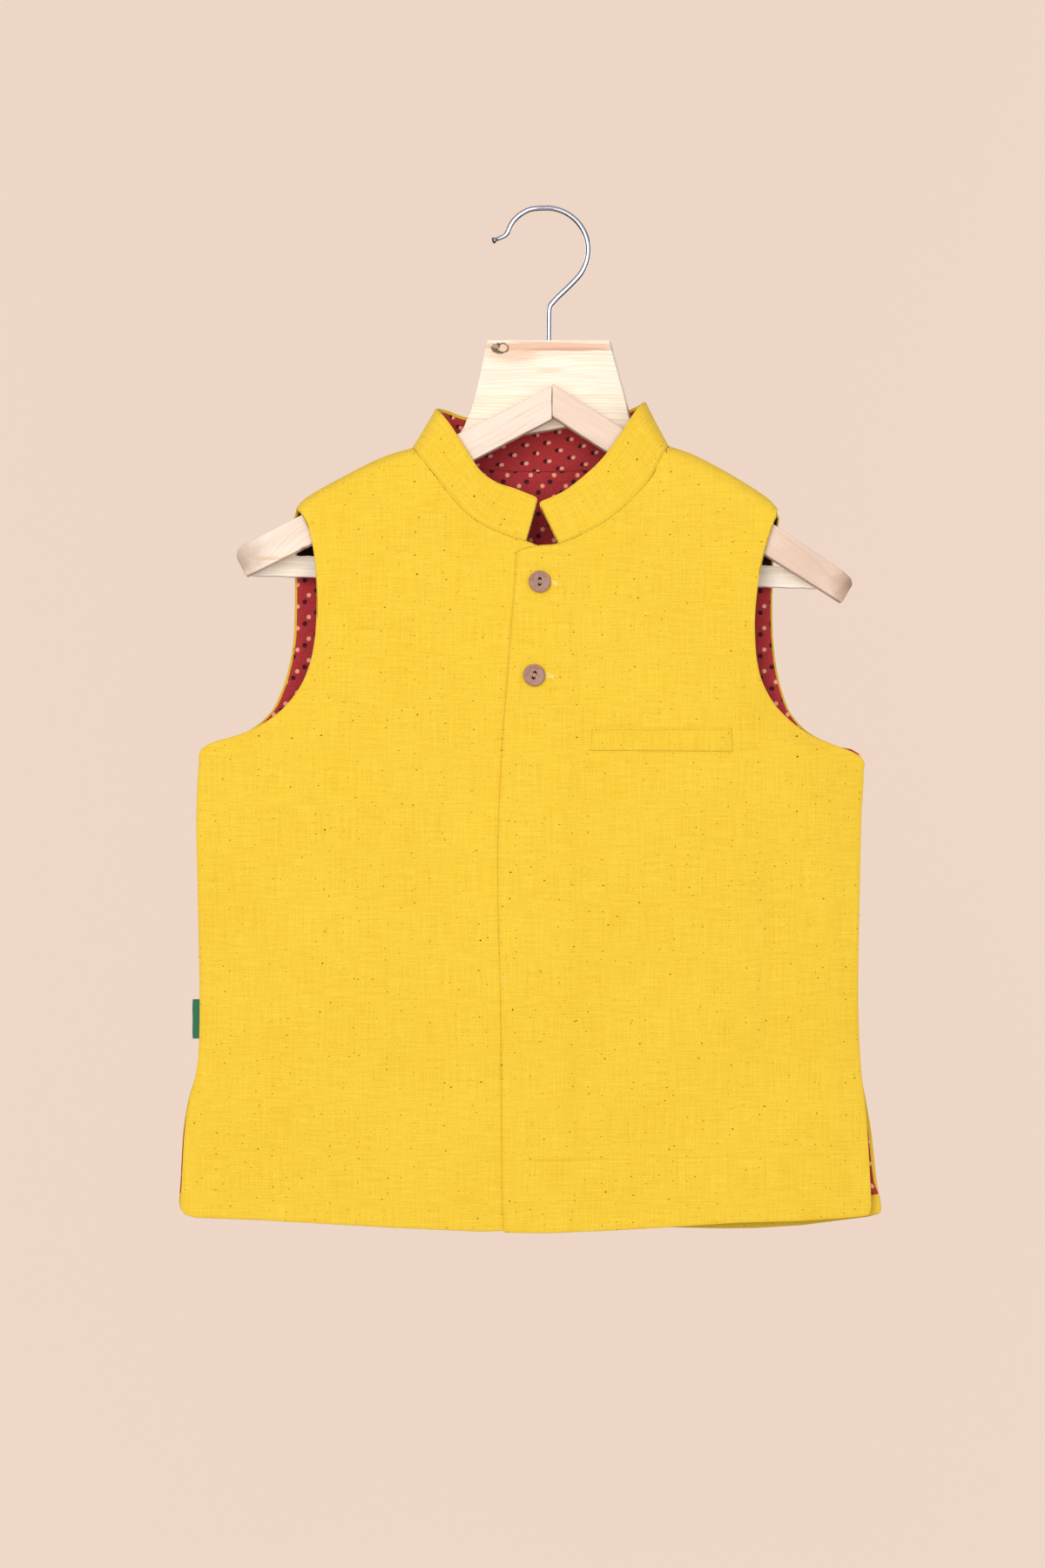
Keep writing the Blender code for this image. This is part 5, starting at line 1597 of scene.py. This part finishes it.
green, tree, shader = new_material(
    "green_woven_tape", Roughness=0.75, Specular_IOR_Level=0.3, Sheen_Weight=0.25,
    Sheen_Roughness=0.4,
)
place = add_node(tree, "ShaderNodeAttribute", attribute_name="cut").outputs["Vector"]
ribs = vector(tree, "MULTIPLY", place, (math.pi / RIB, 2 * math.pi / RIB, 0.0))
sines = vector(tree, "SINE", ribs)
waves = add_node(tree, "ShaderNodeSeparateXYZ", {0: sines})
weave = calc(tree, "MULTIPLY", waves.outputs["X"], waves.outputs["Y"])
tone = ramp(tree, weave, -1.0, 1.0)
colour = mix(tree, tone, linear("#1D5B42"), linear("#3A7C5D"))
tree.links.new(colour, shader.inputs["Base Color"])
set_relief(tree, shader, weave, 0.5, 0.0001)

section = [(LABEL_SEAM_X - t, LABEL_Y - LABEL_HALF) for t in np.linspace(0.0, 3.2, 5)]
for k in range(1, 10):
    a = math.pi * (0.5 + k / 10)
    section.append((
        LABEL_END_X + LABEL_HALF * (1.0 + math.cos(a)), LABEL_Y - LABEL_HALF * math.sin(a)
    ))
section += [(LABEL_SEAM_X - t, LABEL_Y + LABEL_HALF) for t in np.linspace(3.2, 0.0, 5)]
length = np.concatenate([[0.0], np.cumsum(np.linalg.norm(np.diff(section, axis=0), axis=1))])
grid, flat = [], []
for k in range(25):
    t = k / 24
    bow = 0.22 * math.sin(math.pi * t) + 0.1 * math.sin(9.0 * t)
    z = lerp(LABEL_TOP, LABEL_BOTTOM, t)
    grid.append([(x - bow * (LABEL_SEAM_X - x) / 4.0, y, z) for x, y in section])
    flat.append([(v, z, 0.0) for v in length])
label = rounded_sheet(
    "green_label_loop", np.array(grid), TAPE_THICK, np.array(flat), green, 1, 3
)
settle(label, "tape_green", "label")

# Loose ends: a few fibres and thread tails that the seams and the handloom cloth let go. Each
# is a thin round wisp of cotton that hangs just off the cloth.
FIBRE_R = 0.11
yellow_fibre = thread_material("loose_yellow_fibre", "#F3CC55")
white_fibre = thread_material("loose_white_fibre", "#FFF3CE")
for name, x, z, steps, fibre in (
    ("loose_fibre_seam", -201.6, -352.6, ((0, 0), (-1.6, 0.5), (-2.8, 0.1), (-4.2, 1.0)),
     yellow_fibre),
    ("thread_tail_hem", -87.0, -586.2, ((0, 0), (0.5, -1.2), (-0.3, -2.2), (0.8, -3.0)),
     yellow_fibre),
    ("thread_tail_hem_two", -86.2, -586.3, ((0, 0), (-0.8, -1.0), (-1.6, -1.2), (-1.9, -2.2)),
     yellow_fibre),
    ("white_thread_bit", -24.9, -442.5, ((0, 0), (0.7, -0.9), (0.4, -2.0), (1.1, -2.7)),
     white_fibre),
):
    cloth = cloth_left if x > -30 else cloth_right
    y = on_cloth(cloth, max(x, -199.0), max(z, -584.0), 0.2)[1]
    table = [(x + dx, y - 0.15 * k, z + dz) for k, (dx, dz) in enumerate(steps)]
    path = [spline(table, k / 4.0) for k in range(4 * (len(table) - 1) + 1)]
    wisp = make_piece(name, *tube(path, [FIBRE_R] * len(path), 6), fibre)
    settle(wisp, "cloth_yellow")

# Stage: a pale paper floor that sweeps up to a pale wall all round, soft studio lights in front
# and weaker ones behind, and the camera level with the jacket's middle.
CAMERA = (-0.0139, -2.274, -0.3326)
FLOOR_Z = -2.6
WALL_R = 4.6
WALL_TOP = 4.0
SWEEP_R = 1.6
WALL_SIDES = 96

paper, tree, shader = new_material(
    "backdrop_paper", Base_Color=linear("#E4CFC1"), Roughness=0.95, Specular_IOR_Level=0.1,
    Emission_Color=linear("#EFDCCD"), Emission_Strength=0.37,
)
profile = [(0.6, FLOOR_Z), (1.6, FLOOR_Z), (2.4, FLOOR_Z)]
for k in range(13):
    a = math.radians(90.0 * k / 12)
    profile.append((
        WALL_R - SWEEP_R + SWEEP_R * math.sin(a), FLOOR_Z + SWEEP_R - SWEEP_R * math.cos(a)
    ))
profile.append((WALL_R, WALL_TOP))
verts = [(0.0, 0.0, FLOOR_Z)]
for r, z in profile:
    for k in range(WALL_SIDES):
        a = 2 * math.pi * k / WALL_SIDES
        verts.append((r * math.cos(a), r * math.sin(a), z))
faces = []
for k in range(WALL_SIDES):
    j = (k + 1) % WALL_SIDES
    faces.append((0, 1 + k, 1 + j))
    for i in range(len(profile) - 1):
        a = 1 + i * WALL_SIDES
        faces.append((a + k, a + WALL_SIDES + k, a + WALL_SIDES + j, a + j))
mesh = bpy.data.meshes.new("backdrop")
mesh.from_pydata(verts, [], faces)
mesh.polygons.foreach_set("use_smooth", [True] * len(mesh.polygons))
mesh.materials.append(paper)
backdrop = new_object("backdrop", mesh)
backdrop.visible_glossy = False
backdrop.visible_diffuse = False
backdrop.visible_shadow = False

for name, spot, size, power, tint in (
    ("key_light", (-0.9, -2.9, 0.35), 1.7, 47.5, "#FFFDFB"),
    ("fill_light", (1.0, -2.9, -0.25), 1.9, 20.5, "#FFFFFF"),
    ("back_light_left", (-2.1, 2.7, 0.3), 1.7, 22.0, "#FFFDFB"),
    ("back_light_right", (2.1, 2.7, 0.0), 1.7, 18.0, "#FFFFFF"),
):
    lamp = bpy.data.lights.new(name, "AREA")
    lamp.size = size
    lamp.energy = power
    lamp.color = linear(tint)[:3]
    holder = new_object(name, lamp)
    holder.location = spot
    aim = Vector((0.0, 0.0, -0.35)) - Vector(spot)
    holder.rotation_euler = aim.to_track_quat("-Z", "Y").to_euler()
    holder.visible_camera = False

world = bpy.data.worlds.new("studio")
world.use_nodes = True
sky = world.node_tree.nodes["Background"]
sky.inputs["Color"].default_value = linear("#FBF6F2")
sky.inputs["Strength"].default_value = 0.59
# Polished metal sees a bright front, a dark studio round it and a narrow pale wall behind it
studio = world.node_tree
turned = add_node(
    studio,
    "ShaderNodeSeparateXYZ",
    {0: add_node(studio, "ShaderNodeTexCoord").outputs["Generated"]},
)
front = ramp(studio, turned.outputs["Y"], 0.0, -0.75, 0.04, 0.55, smooth=True)
above = ramp(studio, turned.outputs["Z"], 0.2, 0.9, 0.0, 0.35)
behind = ramp(studio, turned.outputs["Y"], 0.72, 0.97, 0.0, 0.5, smooth=True)
ahead = calc(studio, "ADD", front, behind)
seen = calc(studio, "ADD", ahead, above)
mirror = add_node(studio, "ShaderNodeBackground", {"Color": linear("#E8E9F4"), "Strength": seen})
path = add_node(studio, "ShaderNodeLightPath")
both = add_node(
    studio, "ShaderNodeMixShader", {0: path.outputs["Is Glossy Ray"], 1: sky, 2: mirror}
)
studio.links.new(both.outputs[0], studio.nodes["World Output"].inputs["Surface"])
bpy.context.scene.world = world
bpy.context.scene.view_settings.view_transform = "Standard"

lens = bpy.data.cameras.new("camera")
lens.lens = 90.0
lens.sensor_fit = "VERTICAL"
lens.sensor_height = 36.0
camera = new_object("camera", lens)
camera.location = CAMERA
camera.rotation_euler = (math.radians(90.0), 0.0, 0.0)
bpy.context.scene.camera = camera
